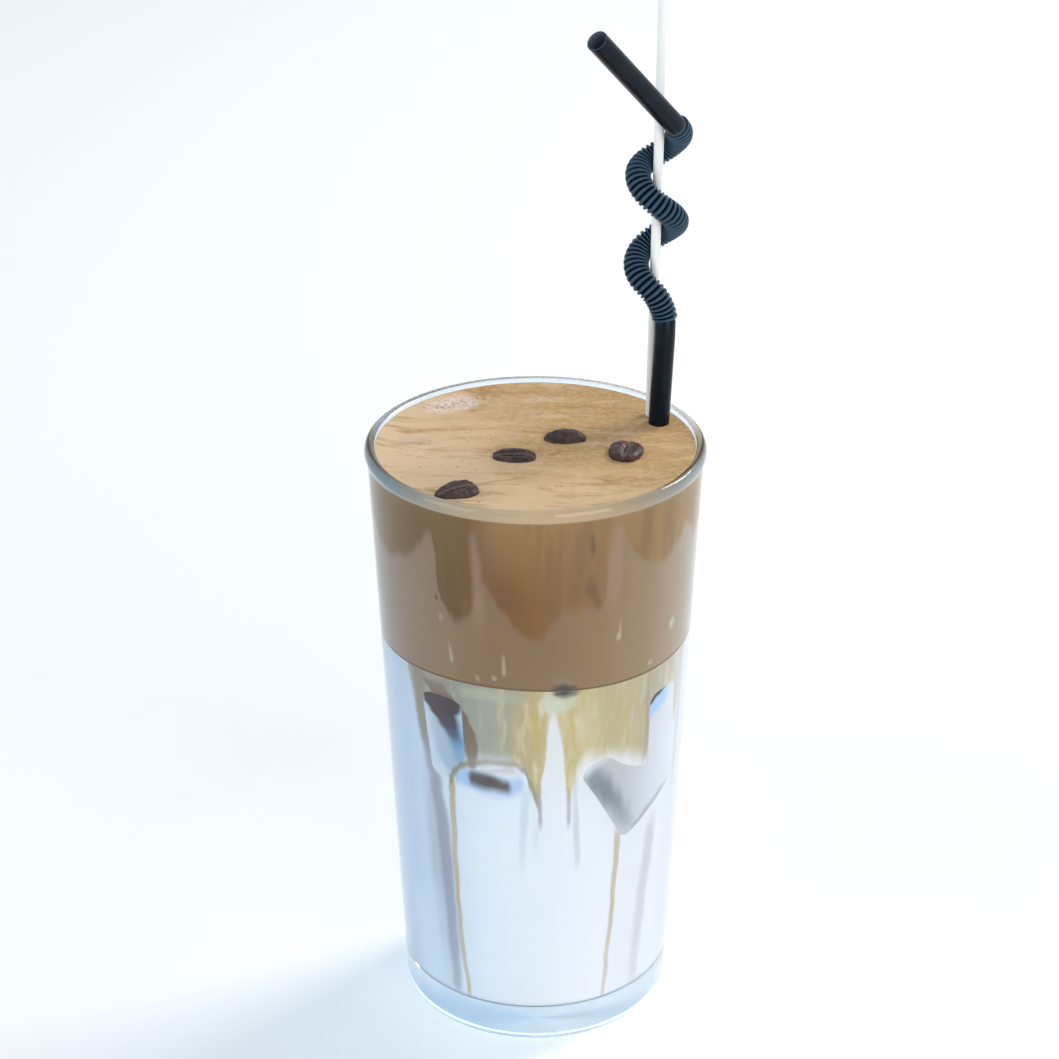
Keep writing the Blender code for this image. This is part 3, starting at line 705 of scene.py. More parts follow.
# How low the darker coffee hangs in the froth at each angle, in tongues
TONGUE_LEVELS = ((0, 136), (20, 127), (30, 127), (38, 128.5), (42.4, 130.9), (47, 134),
                 (52, 138), (53.5, 126), (56, 119), (60, 116.5), (66, 118), (69, 124),
                 (71, 127), (74, 125), (78, 121.0), (84.5, 115.0), (91.6, 112.8), (97, 117.5),
                 (100, 121.2), (108, 120.6), (114.5, 122.5), (116.5, 134), (121, 139),
                 (127, 133), (132, 129), (136.5, 127.8), (142, 128.4), (148, 130.5),
                 (156, 134), (164, 128), (180, 130))
TONGUE_COLOURS = ((0, (0.24, 0.16, 0.07)), (35, (0.19, 0.100, 0.015)), (50, (0.145, 0.070, 0.006)),
                  (60, (0.140, 0.062, 0.004)), (68, (0.165, 0.065, 0.005)),
                  (75, (0.175, 0.058, 0.003)), (84, (0.200, 0.088, 0.006)),
                  (92, (0.250, 0.110, 0.008)), (100, (0.27, 0.135, 0.028)),
                  (112, (0.27, 0.140, 0.036)), (140, (0.32, 0.175, 0.035)),
                  (160, (0.31, 0.18, 0.05)), (180, (0.26, 0.17, 0.08)))
BAND_COLOURS = ((0, (0.24, 0.17, 0.08)), (40, (0.180, 0.095, 0.010)), (60, (0.165, 0.090, 0.012)),
                (68, (0.185, 0.090, 0.010)), (76, (0.27, 0.145, 0.035)),
                (92, (0.315, 0.175, 0.055)), (110, (0.29, 0.155, 0.045)),
                (125, (0.32, 0.185, 0.058)), (142, (0.33, 0.195, 0.050)),
                (160, (0.27, 0.165, 0.035)), (180, (0.22, 0.15, 0.05)))
# The froth between the tongues, paler and greyer towards both sides: painted reflection
BODY_COLOURS_AND_REFLECTION = ((0, (0.36, 0.33, 0.30)), (22, (0.31, 0.25, 0.20)), (38, (0.30, 0.210, 0.142)),
                (60, (0.28, 0.175, 0.092)), (72, (0.25, 0.148, 0.072)), (92, (0.26, 0.155, 0.066)),
                (112, (0.30, 0.180, 0.082)), (130, (0.34, 0.228, 0.123)),
                (150, (0.36, 0.276, 0.19)), (164, (0.37, 0.33, 0.28)), (180, (0.39, 0.37, 0.35)))
# What the bead at the rim shows of the froth's edge: grey and blue painted reflection, but brown
# froth in front
BEAD_REFLECTION_COLOURS = ((0, (0.15, 0.24, 0.29)), (35, (0.23, 0.28, 0.29)), (60, (0.44, 0.34, 0.22)),
                (90, (0.55, 0.38, 0.21)), (120, (0.47, 0.34, 0.20)), (145, (0.29, 0.29, 0.27)),
                (180, (0.17, 0.26, 0.32)))
FROTH_STAINS = (
    # pale froth between the tongues
    ("down", 3.0, (0.33, 0.21, 0.14), (
        (112, 70, 2, 0), (122, 69.5, 2.2, 0.7), (130, 69, 1.6, 0.8), (138, 68.5, 1.2, 0.7),
        (142, 68, 1, 0))),
    ("down", 3.0, (0.38, 0.24, 0.16), (
        (118, 118, 2, 0), (124, 118, 2.6, 0.7), (132, 118.5, 2.6, 0.8), (140, 119.5, 2.0, 0.6),
        (143, 120, 1, 0))),
    # a dark streak and dots in the tongue at the right of the middle
    ("down", 1.6, (0.16, 0.085, 0.025), (
        (133.5, 110, 0.5, 0), (136, 110.2, 1.0, 0.8), (139, 109.8, 1.0, 0.7),
        (141, 109.5, 0.6, 0))),
    ("down", 2.4, (0.17, 0.09, 0.025), (
        (119, 112.5, 0.6, 0), (122, 112, 1.6, 0.7), (126, 109.5, 2.2, 0.8),
        (129, 109.5, 1.6, 0.5), (131, 110, 1, 0))),
    # pale drawn bubbles
    ("down", 0.9, (0.50, 0.42, 0.31), (
        (104.5, 58.4, 0.2, 0), (106, 58.2, 0.7, 0.7), (109, 57.6, 0.5, 0.6), (112, 56.8, 0.2, 0))),
    ("down", 0.9, (0.48, 0.38, 0.27), (
        (103.5, 78.6, 0.3, 0), (105, 78.5, 0.8, 0.8), (108, 78.4, 0.6, 0.7), (111, 78.2, 0.2, 0))),
    ("down", 1.0, (0.46, 0.38, 0.28), (
        (102, 74.8, 0.3, 0), (103.2, 74.6, 0.9, 0.8), (104.6, 74.4, 0.4, 0))),
    ("down", 1.0, (0.42, 0.36, 0.27), (
        (101.2, 68.4, 0.3, 0), (102.6, 68.2, 0.8, 0.7), (104.2, 68, 0.3, 0))),
    ("down", 1.0, (0.45, 0.40, 0.31), (
        (114.5, 54, 0.3, 0), (116.4, 54.3, 1.0, 0.6), (118.5, 54, 0.3, 0))),
    ("down", 0.9, (0.55, 0.44, 0.31), (
        (110.5, 121.2, 0.2, 0), (112.2, 121.4, 1.0, 0.9), (114, 121.8, 0.5, 0.6),
        (118, 122, 0.2, 0))),
    ("down", 1.6, (0.58, 0.60, 0.50), (
        (106.5, 149.5, 0.5, 0), (109.5, 149.5, 1.8, 0.7), (112, 149.5, 0.5, 0))),
    ("down", 1.2, (0.50, 0.44, 0.34), (
        (100.8, 136.5, 0.5, 0), (102, 137, 1.2, 0.7), (103.5, 137.5, 0.5, 0))),
    ("down", 0.8, (0.07, 0.075, 0.02), (
        (119.8, 52.8, 0.2, 0), (121.3, 52.8, 0.8, 0.8), (122.8, 52.6, 0.2, 0))),
    # a dark lump at the underside, with a grey smear over it
    ("round", 3.0, (0.27, 0.23, 0.16), (
        (94.5, 103, 0.5, 0), (97.5, 102.8, 1.4, 0.6), (102, 102.2, 1.4, 0.6),
        (105, 101.5, 0.5, 0))),
    ("round", 1.5, (0.075, 0.055, 0.045), (
        (94.6, 100.8, 0.3, 0), (97.5, 100.8, 0.9, 0.9), (100.5, 100.7, 1.3, 1),
        (103.5, 100.4, 1.0, 0.9), (108, 100.0, 0.3, 0))),
)
# Brown veils in the tongues, paler clouds beside them, and a dark line at the underside
VEIL_BROWN = (0.175, 0.092, 0.024)
CLOUD_TAN = (0.42, 0.29, 0.17)
UNDERSIDE_BROWN = (0.15, 0.085, 0.035, 1.0)
# At the back the froth's edge is painted grey in the bead, a painted reflection, with paler froth
# under it
BEAD_REFLECTION_GREY = (0.44, 0.44, 0.46, 1.0)
BACK_PALE = (0.60, 0.55, 0.50, 1.0)
BACK_DEPTHS = (2.0 * MM, 16.0 * MM)
# Heights in mm over which each part of the side turns into the next
UNDERSIDE_HEIGHTS = (100.8, 100.35)
BAND_HEIGHTS = (122.0, 143.0)
BACK_PALE_HEIGHTS = (137.0, 140.0)
BEAD_HEIGHTS = (143.9, 144.6)
TOP_HEIGHTS = (145.3, 145.7)
# The top: brown at the back right, paler to the left and in front
TOP_BROWN = (0.485, 0.285, 0.115, 1.0)
TOP_PALE = (0.69, 0.475, 0.28, 1.0)
TOP_FRONT = (0.65, 0.445, 0.255)
FLOW_PALE = (0.69, 0.47, 0.27)
FLOW_DARK = (0.40, 0.215, 0.068)
THREAD_BROWN = (0.36, 0.19, 0.06)
SPECKLE_PALE = (0.72, 0.50, 0.30)
PIT_BROWN = (0.33, 0.18, 0.075)
# An oval patch of open bubbles at the back left: its way along the rim, halved because it is
# twice as long as wide, its way off the rim, how far out it lies, and where it fades
PATCH_ALONG = (0.395, 0.305)
PATCH_OFF = (-0.61, 0.79)
PATCH_OUT = 32.2 * MM
PATCH_FADE = (5.2 * MM, 2.6 * MM)
BUBBLE_FILM = (0.78, 0.61, 0.52, 1.0)
BUBBLE_EDGE = (0.62, 0.44, 0.33, 1.0)
RIM_RING = (37.36 * MM, 37.48 * MM)


def tinted(tree, mask, strength, colour, shade):
    """A colour with a shade over it where a mask shows, as strongly as given."""
    return mix_colours(tree, calc(tree, "MULTIPLY", mask, strength), colour, (*shade, 1.0))


froth = drink_layer("coffee_froth_body", (), froth_underside, froth_surface, FROTH_SHARES)
froth_brown, tree, shader = new_material("coffee froth")
place, angle, height = wall_place(tree)
lumps = calc(tree, "SUBTRACT", noise(tree, place, 80.0), 0.5)
stretched = add_node(tree, "Mapping", place, None, None, (1.0, 1.0, 0.2)).outputs[0]
fine = calc(tree, "SUBTRACT", noise(tree, stretched, 420.0), 0.5)
bent = calc(tree, "MULTIPLY_ADD", lumps, 5.0, angle)
above = calc(tree, "SUBTRACT", height, profile_of(tree, bent, TONGUE_LEVELS))
above = calc(tree, "MULTIPLY_ADD", fine, 5.0, above)
mottled = calc(tree, "MULTIPLY_ADD", fine, 5.0, bent)
tongue = mix_colours(tree, fade(tree, height, *BAND_HEIGHTS),
                     ramp(tree, mottled, TONGUE_COLOURS), ramp(tree, mottled, BAND_COLOURS))
drawn = add_node(tree, "Mapping", place, None, None, (1.0, 1.0, 0.12)).outputs[0]
veil = fade(tree, noise(tree, drawn, 260.0, 4.0), 0.50, 0.66)
tongue = tinted(tree, veil, 0.4, tongue, VEIL_BROWN)
side = mix_colours(tree, fade(tree, above, -1.4, 2.2), ramp(tree, mottled, BODY_COLOURS_AND_REFLECTION), tongue)
cloud = fade(tree, noise(tree, stretched, 120.0, 4.0), 0.45, 0.7)
side = tinted(tree, cloud, 0.12, side, CLOUD_TAN)
wave = calc(tree, "SINE", calc(tree, "MULTIPLY_ADD", angle, math.pi / 60, 1.0 - 3 * math.pi))
level = calc(tree, "MULTIPLY_ADD", wave, -1000 * FROTH_UNDERSIDE_WAVE, height)
side = mix_colours(tree, fade(tree, level, *UNDERSIDE_HEIGHTS), side, UNDERSIDE_BROWN)
bent = calc(tree, "MULTIPLY_ADD", lumps, 2.0, angle)
side = painted(tree, side, bent, height, FROTH_STAINS)
x, y, z = add_node(tree, "SeparateXYZ", place).outputs
at_back = fade(tree, y, *BACK_DEPTHS)
pale_edge = calc(tree, "MULTIPLY", at_back, fade(tree, height, *BACK_PALE_HEIGHTS))
side = mix_colours(tree, pale_edge, side, BACK_PALE)
bead_reflection = mix_colours(tree, at_back, ramp(tree, angle, BEAD_REFLECTION_COLOURS), BEAD_REFLECTION_GREY)
side = mix_colours(tree, fade(tree, height, *BEAD_HEIGHTS), side, bead_reflection)

# The top has flow lines, fine pits and open bubbles
leftwards = calc(tree, "MULTIPLY_ADD", y, -0.35, calc(tree, "MULTIPLY", x, -1.0))
leftwards = calc(tree, "MULTIPLY_ADD", lumps, 0.03, leftwards)
top = mix_colours(tree, fade(tree, leftwards, -0.012, 0.032), TOP_BROWN, TOP_PALE)
frontwards = calc(tree, "MULTIPLY_ADD", lumps, 0.02, calc(tree, "MULTIPLY", y, -1.0))
top = tinted(tree, fade(tree, frontwards, 0.008, 0.030), 0.75, top, TOP_FRONT)
flow = add_node(tree, "Mapping", place, None, (0.0, 0.0, 0.12), (0.26, 1.0, 1.0)).outputs[0]
drift = add_node(tree, "TexNoise", flow, None, 210.0, 5.0, 0.6, 2.0, 1.4).outputs["Fac"]
top = tinted(tree, fade(tree, drift, 0.52, 0.68), 0.6, top, FLOW_PALE)
top = tinted(tree, fade(tree, drift, 0.48, 0.34), 0.6, top, FLOW_DARK)
thread = add_node(tree, "TexNoise", flow, None, 120.0, 2.0, 0.5, 2.0, 2.2).outputs["Fac"]
thread = calc(tree, "ABSOLUTE", calc(tree, "SUBTRACT", thread, 0.5))
thread = calc(tree, "MULTIPLY", fade(tree, thread, 0.034, 0.006),
              fade(tree, noise(tree, place, 60.0, 2.0), 0.44, 0.60))
top = tinted(tree, thread, 0.6, top, THREAD_BROWN)
speckle = fade(tree, noise(tree, place, 650.0, 4.0), 0.42, 0.62)
top = tinted(tree, speckle, 0.25, top, SPECKLE_PALE)
cells = add_node(tree, "TexVoronoi", place, None, 560.0)
pits = calc(tree, "MULTIPLY", fade(tree, cells.outputs["Distance"], 0.26, 0.14),
            fade(tree, noise(tree, place, 90.0, 2.0), 0.56, 0.66))
top = tinted(tree, pits, 0.7, top, PIT_BROWN)
along_rim = calc(tree, "MULTIPLY_ADD", x, PATCH_ALONG[0],
                 calc(tree, "MULTIPLY", y, PATCH_ALONG[1]))
off_rim = calc(tree, "MULTIPLY_ADD", x, PATCH_OFF[0],
               calc(tree, "MULTIPLY_ADD", y, PATCH_OFF[1], -PATCH_OUT))
from_patch = add_node(tree, "CombineXYZ", along_rim, off_rim, 0.0).outputs[0]
from_patch = add_node(tree, "VectorMath", from_patch, operation="LENGTH").outputs["Value"]
from_patch = calc(tree, "MULTIPLY_ADD", lumps, 0.010, from_patch)
in_patch = fade(tree, from_patch, *PATCH_FADE)
cells = add_node(tree, "TexVoronoi", place, None, 520.0, feature="DISTANCE_TO_EDGE")
open_bubbles = mix_colours(tree, fade(tree, cells.outputs["Distance"], 0.12, 0.02),
                           BUBBLE_FILM, BUBBLE_EDGE)
top = mix_colours(tree, calc(tree, "MULTIPLY", in_patch, 0.85), top, open_bubbles)
# The outermost ring lies against the glass and shows only in the bead at the rim, in the bead's
# painted reflection
from_axis = calc(tree, "SQRT", calc(tree, "MULTIPLY_ADD", x, x, calc(tree, "MULTIPLY", y, y)))
top = mix_colours(tree, fade(tree, from_axis, *RIM_RING), top, bead_reflection)
on_top = fade(tree, height, *TOP_HEIGHTS)
side_and_top = mix_colours(tree, on_top, side, top)
tree.links.new(side_and_top, shader.inputs["Base Color"])
shader.inputs["Roughness"].default_value = 0.6
shader.inputs["Specular IOR Level"].default_value = 0.15
shader.inputs["Subsurface Weight"].default_value = 0.1
shader.inputs["Subsurface Radius"].default_value = (1.0, 0.6, 0.35)
shader.inputs["Subsurface Scale"].default_value = 1.0 * MM
pitted = add_node(tree, "Bump", 0.35, 0.0004)
tree.links.new(calc(tree, "MULTIPLY", noise(tree, place, 900.0), on_top),
               pitted.inputs["Height"])
tree.links.new(pitted.outputs["Normal"], shader.inputs["Normal"])
froth.data.materials.append(froth_brown)
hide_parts("coffee_froth")
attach(froth, "root")


# Bubbles
# A few larger bubbles with thin skins have risen in the froth, crowded at the back left of
# the glass and smaller ones near the beans and the straw. They lie half sunk in the froth.
BUBBLE_SEED = 4
BUBBLE_SINK = 0.45
BUBBLE_SPREAD = 0.45
BUBBLES_WITHIN = 36.4
FROTH_EDGE = 37.3
CLOSEST_BUBBLES = 0.9
# Each crowd: middle, half length and width, heading in degrees, how many, least and most radius
CROWDS = (((-20.5, 25.0), (8.5, 2.6), 38, 42, 0.25, 0.75),
          ((-9.5, 4.5), (5.5, 2.0), 12, 18, 0.14, 0.30),
          ((21.0, 20.5), (6.0, 2.5), -35, 24, 0.18, 0.42),
          ((-24.0, 3.0), (6.0, 9.0), 0, 16, 0.12, 0.26))
rng = np.random.default_rng(BUBBLE_SEED)
bubbles = []
for middle, reach, heading, many, least, most in CROWDS:
    turn = Matrix.Rotation(math.radians(heading), 2)
    for _ in range(many):
        away = rng.normal(0.0, BUBBLE_SPREAD, 2)
        spot = turn @ Vector((away[0] * reach[0], away[1] * reach[1])) + Vector(middle)
        radius = least + (most - least) * rng.random() ** 2
        if spot.length + radius > BUBBLES_WITHIN:
            continue
        if any((spot - other).length < CLOSEST_BUBBLES * (radius + size)
               for other, size in bubbles):
            continue
        bubbles.append((spot, radius))
bpy.ops.object.select_all(action="DESELECT")
made = []
for spot, radius in bubbles:
    share = spot.length / FROTH_EDGE
    level = froth_surface(math.atan2(spot.y, spot.x), share) - BUBBLE_SINK * radius * MM
    bpy.ops.mesh.primitive_uv_sphere_add(segments=14, ring_count=8, radius=radius * MM,
                                         location=(spot.x * MM, spot.y * MM, level))
    made.append(bpy.context.object)
for bubble in made:
    bubble.select_set(True)
bpy.ops.object.join()
froth_bubbles = bpy.context.object
froth_bubbles.name = "froth_bubbles"
bpy.ops.object.transform_apply(location=True, rotation=True, scale=True)
bpy.ops.object.shade_smooth()
bubble_skin, tree, shader = new_material("bubble skin")
place = add_node(tree, "TexCoord").outputs["Object"]
skin = ramp(tree, noise(tree, place, 300.0),
            ((0.35, (0.58, 0.40, 0.26)), (0.65, (0.72, 0.55, 0.44))))
tree.links.new(skin, shader.inputs["Base Color"])
shader.inputs["Roughness"].default_value = 0.18
shader.inputs["Specular IOR Level"].default_value = 0.4
clear = add_node(tree, "BsdfTransparent", (1.0, 1.0, 1.0, 1.0))
both = add_node(tree, "MixShader", 0.4, shader.outputs[0], clear.outputs[0])
tree.links.new(both.outputs[0], tree.nodes["Material Output"].inputs["Surface"])
froth_bubbles.data.materials.append(bubble_skin)
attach(froth_bubbles, "root")


# Coffee beans
# Four dark roasted coffee beans laid on the froth and half sunk in it. A bean is domed on
# one side and flat on the other, with a winding cleft along the flat side.
BEAN_DOME = 2.6 * MM
BEAN_FLAT = 1.6 * MM
CLEFT_DEPTH = 1.4 * MM
CLEFT_HALF_WIDTH = 0.5 * MM
CLEFT_WINDING = 0.25 * MM
# Each bean: place, height of its middle over the froth, heading and roll in degrees,
# whether the flat side is up, length and width, and how much one end tapers
BEANS = (("1", (6.9, 3.3), -0.3, 3, 9, False, 10.1, 7.2, 0.0),
         ("2", (-4.9, -6.6), -0.4, -3, 8, True, 10.1, 6.9, 0.05),
         ("3", (20.9, -4.9), 0.4, 78, 3, True, 9.4, 8.4, 0.1),
         ("4", (-17.9, -26.6), 0.2, 30, 8, True, 10.2, 7.4, 0.35))
WRINKLE_SIZE = 1.1 * MM
WRINKLE_DEPTH = 0.55 * MM
wrinkles = bpy.data.textures.new("bean wrinkles", "CLOUDS")
wrinkles.noise_scale = WRINKLE_SIZE

roasted, tree, shader = new_material("roasted bean")
place = add_node(tree, "TexCoord").outputs["Object"]
roast_and_cleft_shade = ramp(tree, noise(tree, place, 500.0, 4.0),
             ((0.3, (0.024, 0.011, 0.009)), (0.5, (0.047, 0.023, 0.018)),
              (0.7, (0.085, 0.045, 0.036))))
cleft = add_node(tree, "Attribute", attribute_name="cleft").outputs["Fac"]
chaff = calc(tree, "MULTIPLY", fade(tree, cleft, 0.05, 0.3), fade(tree, cleft, 0.75, 0.4))
roast_and_cleft_shade = mix_colours(tree, calc(tree, "MULTIPLY", chaff, 0.55), roast_and_cleft_shade, (0.17, 0.105, 0.085, 1.0))
# The deepest part of the cleft is painted nearly black: painted shade in the crease
roast_and_cleft_shade = mix_colours(tree, fade(tree, cleft, 0.5, 0.9), roast_and_cleft_shade, (0.006, 0.004, 0.004, 1.0))
tree.links.new(roast_and_cleft_shade, shader.inputs["Base Color"])
sheen = add_node(tree, "MapRange", noise(tree, place, 300.0), 0.3, 0.7, 0.32, 0.5)
tree.links.new(sheen.outputs[0], shader.inputs["Roughness"])
shader.inputs["Specular IOR Level"].default_value = 0.3
grain = add_node(tree, "Bump", 0.35, 0.0004)
tree.links.new(noise(tree, place, 1800.0, 2.0), grain.inputs["Height"])
tree.links.new(grain.outputs["Normal"], shader.inputs["Normal"])

for number, spot, rise, heading, roll, flat_up, length, width, taper in BEANS:
    bpy.ops.object.select_all(action="DESELECT")
    bpy.ops.mesh.primitive_uv_sphere_add(segments=28, ring_count=18, radius=1.0,
                                         rotation=(0.0, math.pi / 2, 0.0))
    bean = bpy.context.object
    bean.name = "roasted_bean_" + number
    bpy.ops.object.transform_apply(location=False, rotation=True, scale=False)
    depths = []
    for vertex in bean.data.vertices:
        x, y, z = vertex.co
        girth = max(math.hypot(y, z), 1e-6)
        fuller = girth ** 0.75 / girth
        y = y * fuller * (1.0 + taper * x) / (1.0 + taper * 0.3) * width * MM / 2
        groove = 0.0
        winding = CLEFT_WINDING * math.sin(2.2 * x)
        if z > 0:
            groove = math.exp(-((y - winding) / CLEFT_HALF_WIDTH) ** 2)
            groove *= girth ** 1.5
            z = BEAN_FLAT * (z * fuller) ** 0.5 - CLEFT_DEPTH * groove
        else:
            z = BEAN_DOME * z * fuller
        vertex.co = (x * length * MM / 2, y, z)
        depths.append(groove)
    cleft = bean.data.attributes.new("cleft", "FLOAT", "POINT")
    cleft.data.foreach_set("value", depths)
    tilt = roll if flat_up else roll + 180
    bean.location = (spot[0] * MM, spot[1] * MM, FROTH_LEVEL + rise * MM)
    turn = Matrix.Rotation(math.radians(heading), 4, "Z")
    bean.rotation_euler = (turn @ Matrix.Rotation(math.radians(tilt), 4, "X")).to_euler()
    bpy.ops.object.transform_apply(location=True, rotation=True, scale=False)
    smoother = bean.modifiers.new("smoother", "SUBSURF")
    smoother.levels = 1
    smoother.render_levels = 1
    bpy.ops.object.modifier_apply(modifier=smoother.name)
    uneven = bean.modifiers.new("uneven", "DISPLACE")
    uneven.texture = wrinkles
    uneven.texture_coords = "LOCAL"
    uneven.strength = WRINKLE_DEPTH
    bpy.ops.object.modifier_apply(modifier=uneven.name)
    bpy.ops.object.shade_smooth()
    bean.data.materials.append(roasted)
    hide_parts("coffee_bean_" + number)
    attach(bean, "root")


# Straw
# A thin straw of black plastic. Its lower end is straight, its middle is pressed into
# bellows and winds twice round the stirrer, and its mouthpiece is straight again.
STIRRER_FOOT = Vector((27.48, 18.00, 146.0)) * MM
STIRRER_LEAN = Vector((0.0136, 0.035, 1.0))
STRAW_FOOT = Vector((29.36, 13.90, 146.0)) * MM
STRAW_LEAN = Vector((0.0467, 0.035, 1.0))
STRAW_BOTTOM = 12.0 * MM
STRAW_RADIUS = 2.5 * MM
STRAW_WALL = 0.3 * MM
RIDGE_RADIUS = 3.0 * MM
VALLEY_RADIUS = 2.3 * MM
RIDGE_PITCH = 1.12 * MM
COIL_TURN = (-50, -90, -180, -360, -540, -590, -640, -720, -765)
COIL_HEIGHT = (171.9, 178.5, 183.8, 194.2, 205.6, 207.2, 209.5, 215.3, 218.1)
COIL_RADIUS_LOW = 4.6 * MM
COIL_RADIUS_HIGH = 5.0 * MM
MOUTHPIECE_LENGTH = 36.3 * MM
MOUTHPIECE_HEADING = Vector((-18.2, -17.9, 24.5)).normalized()
STRAW_SIDES = 28
SHOULDER = 0.6 * MM
STRAIGHT_PARTS = 40
COIL_STEP = 3
BEND_REACH = 6
BEND_ROUNDS = 3
# Each step along one rib: its share of the pitch, and the share of the height that it ends at
RIB_STEPS = ((0.10, 0.4), (0.12, 0.8), (0.16, 1.0), (0.22, 1.0), (0.12, 0.8), (0.10, 0.4),
             (0.18, 0.0))


def at_height(foot, lean, height):
    """The point of a leaning line at a height."""
    return foot + lean * (height - foot.z)


route = [at_height(STRAW_FOOT, STRAW_LEAN, STRAW_BOTTOM),
         at_height(STRAW_FOOT, STRAW_LEAN, COIL_HEIGHT[0] * MM)]
for turn in range(COIL_TURN[0] - 2 * COIL_STEP, COIL_TURN[-1] - 1, -COIL_STEP):
    height = np.interp(-turn, [-key for key in COIL_TURN], COIL_HEIGHT) * MM
    share = (turn - COIL_TURN[0]) / (COIL_TURN[-1] - COIL_TURN[0])
    radius = COIL_RADIUS_LOW + (COIL_RADIUS_HIGH - COIL_RADIUS_LOW) * share
    across = Vector((math.cos(math.radians(turn)), math.sin(math.radians(turn)), 0.0)) * radius
    route.append(at_height(STIRRER_FOOT, STIRRER_LEAN, height) + across)
route.append(route[-1] + MOUTHPIECE_HEADING * MOUTHPIECE_LENGTH)
places = np.array([tuple(point) for point in route])
along = np.concatenate(([0.0], np.cumsum(np.linalg.norm(np.diff(places, axis=0), axis=1))))
spacing = RIDGE_PITCH / 4
steps = np.arange(0.0, along[-1], spacing)
places = np.stack([np.interp(steps, along, places[:, axis]) for axis in range(3)], axis=1)
for _ in range(BEND_ROUNDS):
    softer = places.copy()
    for middle in range(BEND_REACH, len(places) - BEND_REACH):
        softer[middle] = places[middle - BEND_REACH:middle + BEND_REACH + 1].mean(axis=0)
    places = softer
line = bpy.data.curves.new("straw_line", "CURVE")
line.dimensions = "3D"
spline = line.splines.new("POLY")
spline.points.add(len(places) - 1)
for point, spot in zip(spline.points, places):
    point.co = (*spot, 1.0)
straw_line = bpy.data.objects.new("straw_line", line)
bpy.context.scene.collection.objects.link(straw_line)
line_length = float(np.linalg.norm(np.diff(places, axis=0), axis=1).sum())
ribs_start = (route[1] - route[0]).length
ribs_length = line_length - ribs_start - MOUTHPIECE_LENGTH
rib_count = round(ribs_length / RIDGE_PITCH)

bpy.ops.object.select_all(action="DESELECT")
bpy.ops.mesh.primitive_circle_add(vertices=STRAW_SIDES, radius=VALLEY_RADIUS,
                                  rotation=(0.0, math.pi / 2, 0.0))
straw = bpy.context.object
straw.name = "bellows_straw"
bpy.ops.object.transform_apply(location=False, rotation=True, scale=False)
bpy.ops.object.mode_set(mode="EDIT")
radius = VALLEY_RADIUS
at = 0.0
for step, height in RIB_STEPS:
    at += step * RIDGE_PITCH
    next_radius = VALLEY_RADIUS + (RIDGE_RADIUS - VALLEY_RADIUS) * height
    ahead = {"value": (step * RIDGE_PITCH, 0.0, 0.0)}
    bpy.ops.mesh.extrude_region_move(TRANSFORM_OT_translate=ahead)
    wider = next_radius / radius
    bpy.ops.transform.resize(value=(1.0, wider, wider), center_override=(at, 0.0, 0.0))
    radius = next_radius
bpy.ops.object.mode_set(mode="OBJECT")
bellows = straw.modifiers.new("bellows", "ARRAY")
bellows.count = rib_count
bellows.use_relative_offset = False
bellows.use_constant_offset = True
bellows.constant_offset_displace = (RIDGE_PITCH, 0.0, 0.0)
bellows.use_merge_vertices = True
bellows.merge_threshold = 0.01 * MM
bpy.ops.object.modifier_apply(modifier=bellows.name)
bpy.ops.object.mode_set(mode="EDIT")
for end, way, length in ((0.0, -1, ribs_start), (rib_count * RIDGE_PITCH, 1, MOUTHPIECE_LENGTH)):
    bpy.ops.mesh.select_all(action="DESELECT")
    bpy.ops.object.mode_set(mode="OBJECT")
    for vertex in straw.data.vertices:
        vertex.select = abs(vertex.co.x - end) < 0.1 * RIDGE_PITCH / 4
    bpy.ops.object.mode_set(mode="EDIT")
    parts = [SHOULDER] + [(length - SHOULDER) / STRAIGHT_PARTS] * STRAIGHT_PARTS
    radius = VALLEY_RADIUS
    at = end
    for part in parts:
        at += way * part
        bpy.ops.mesh.extrude_region_move(TRANSFORM_OT_translate={"value": (way * part, 0, 0)})
        wider = STRAW_RADIUS / radius
        bpy.ops.transform.resize(value=(1.0, wider, wider), center_override=(at, 0.0, 0.0))
        radius = STRAW_RADIUS
bpy.ops.mesh.select_all(action="SELECT")
bpy.ops.transform.translate(value=(ribs_start, 0.0, 0.0))
bpy.ops.mesh.select_all(action="SELECT")
bpy.ops.mesh.remove_doubles(threshold=0.01 * MM)
bpy.ops.mesh.normals_make_consistent(inside=False)
bpy.ops.object.mode_set(mode="OBJECT")
thick = straw.modifiers.new("wall", "SOLIDIFY")
thick.thickness = STRAW_WALL
thick.offset = -1.0
bpy.ops.object.modifier_apply(modifier=thick.name)
ribs_end = ribs_start + rib_count * RIDGE_PITCH
ridges = []
insides = []
for vertex in straw.data.vertices:
    x, y, z = vertex.co
    out = math.hypot(y, z)
    ribbed = ribs_start < x < ribs_end
    ridges.append((out - VALLEY_RADIUS) / (RIDGE_RADIUS - VALLEY_RADIUS) if ribbed else 0.0)
    insides.append(1.0 if x > ribs_end and out < STRAW_RADIUS - STRAW_WALL / 2 else 0.0)
for name, values in (("ridge", ridges), ("inside", insides)):
    shares = straw.data.attributes.new(name, "FLOAT", "POINT")
    shares.data.foreach_set("value", values)
wound = straw.modifiers.new("wound", "CURVE")
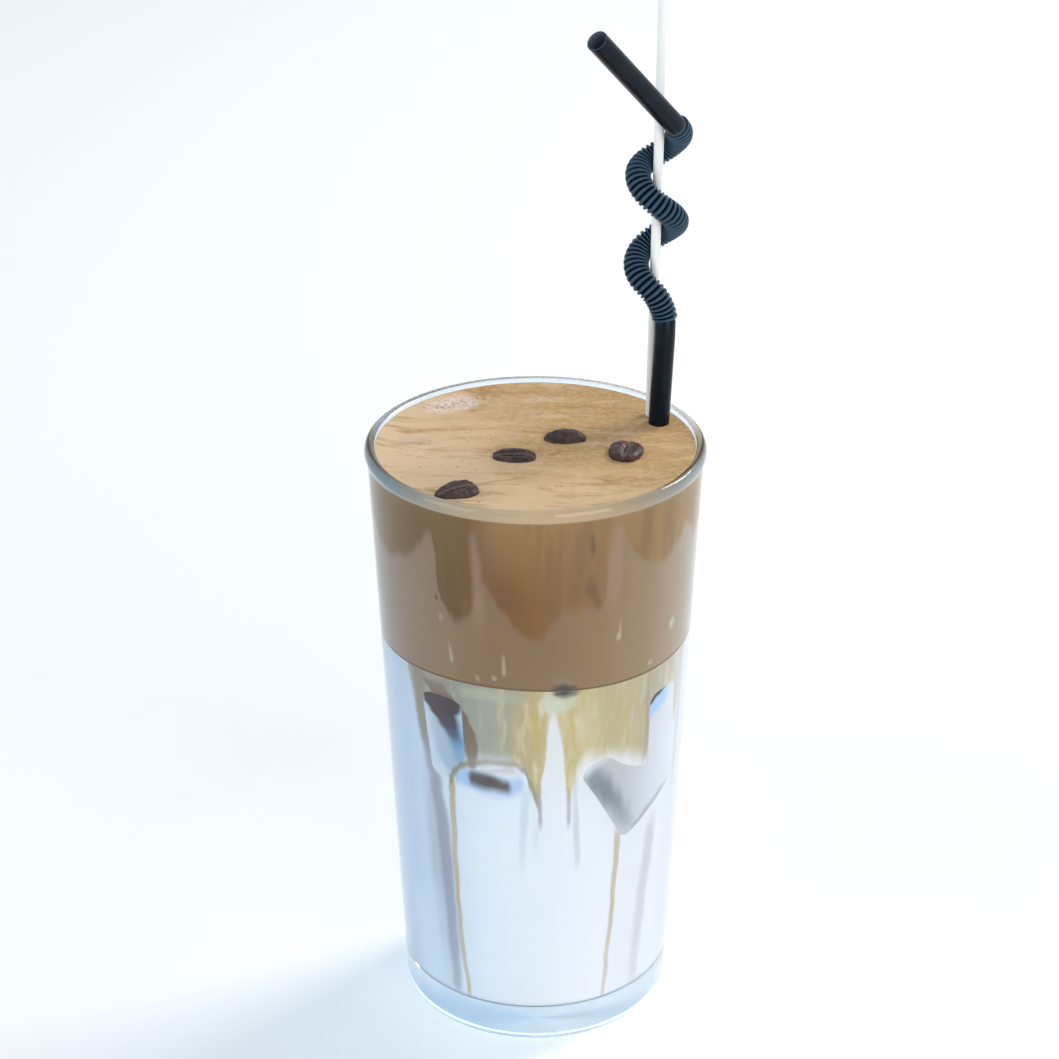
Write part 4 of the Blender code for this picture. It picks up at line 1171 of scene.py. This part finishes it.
wound.object = straw_line
wound.deform_axis = "POS_X"
bpy.ops.object.modifier_apply(modifier=wound.name)
bpy.data.objects.remove(straw_line)
bpy.ops.object.shade_smooth_by_angle(angle=math.radians(50))

black_plastic, tree, shader = new_material("black plastic")
place = add_node(tree, "TexCoord").outputs["Object"]
black = ramp(tree, noise(tree, place, 250.0), ((0.3, (0.003, 0.004, 0.007)),
                                               (0.7, (0.005, 0.007, 0.011))))
# The ridges are painted paler blue, a painted highlight along the ribs, and the inside of the open
# end is painted grey, painted light falling into it
RIDGE_HIGHLIGHT_BLUE = (0.036, 0.072, 0.112, 1.0)
INSIDE_LIGHT_GREY = (0.10, 0.125, 0.15, 1.0)
ridge = add_node(tree, "Attribute", attribute_name="ridge").outputs["Fac"]
black = mix_colours(tree, fade(tree, ridge, 0.45, 1.0), black, RIDGE_HIGHLIGHT_BLUE)
inside = add_node(tree, "Attribute", attribute_name="inside").outputs["Fac"]
black = mix_colours(tree, inside, black, INSIDE_LIGHT_GREY)
tree.links.new(black, shader.inputs["Base Color"])
rub = add_node(tree, "MapRange", noise(tree, place, 120.0), 0.3, 0.7, 0.26, 0.32)
tree.links.new(rub.outputs[0], shader.inputs["Roughness"])
shader.inputs["Specular IOR Level"].default_value = 0.19
shader.inputs["Specular Tint"].default_value = (0.55, 0.80, 1.0, 1.0)
straw.data.materials.append(black_plastic)
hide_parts("straw")
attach(straw, "root")


# Stirrer
# A slim round rod of milky white plastic that stands in the drink, drawn out of one piece
# with eased ends. The straw winds round it.
white_plastic, tree, shader = new_material("white plastic")
place = add_node(tree, "TexCoord").outputs["Object"]
drawn = add_node(tree, "Mapping", place, None, None, (1.0, 1.0, 0.05)).outputs[0]
white = ramp(tree, noise(tree, drawn, 900.0), ((0.3, (0.80, 0.80, 0.78)),
                                               (0.7, (0.87, 0.87, 0.86))))
tree.links.new(white, shader.inputs["Base Color"])
shader.inputs["Roughness"].default_value = 0.35
shader.inputs["Subsurface Weight"].default_value = 0.3
shader.inputs["Subsurface Scale"].default_value = 1.0 * MM
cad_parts["stirrer"].material_slots[0].material = white_plastic
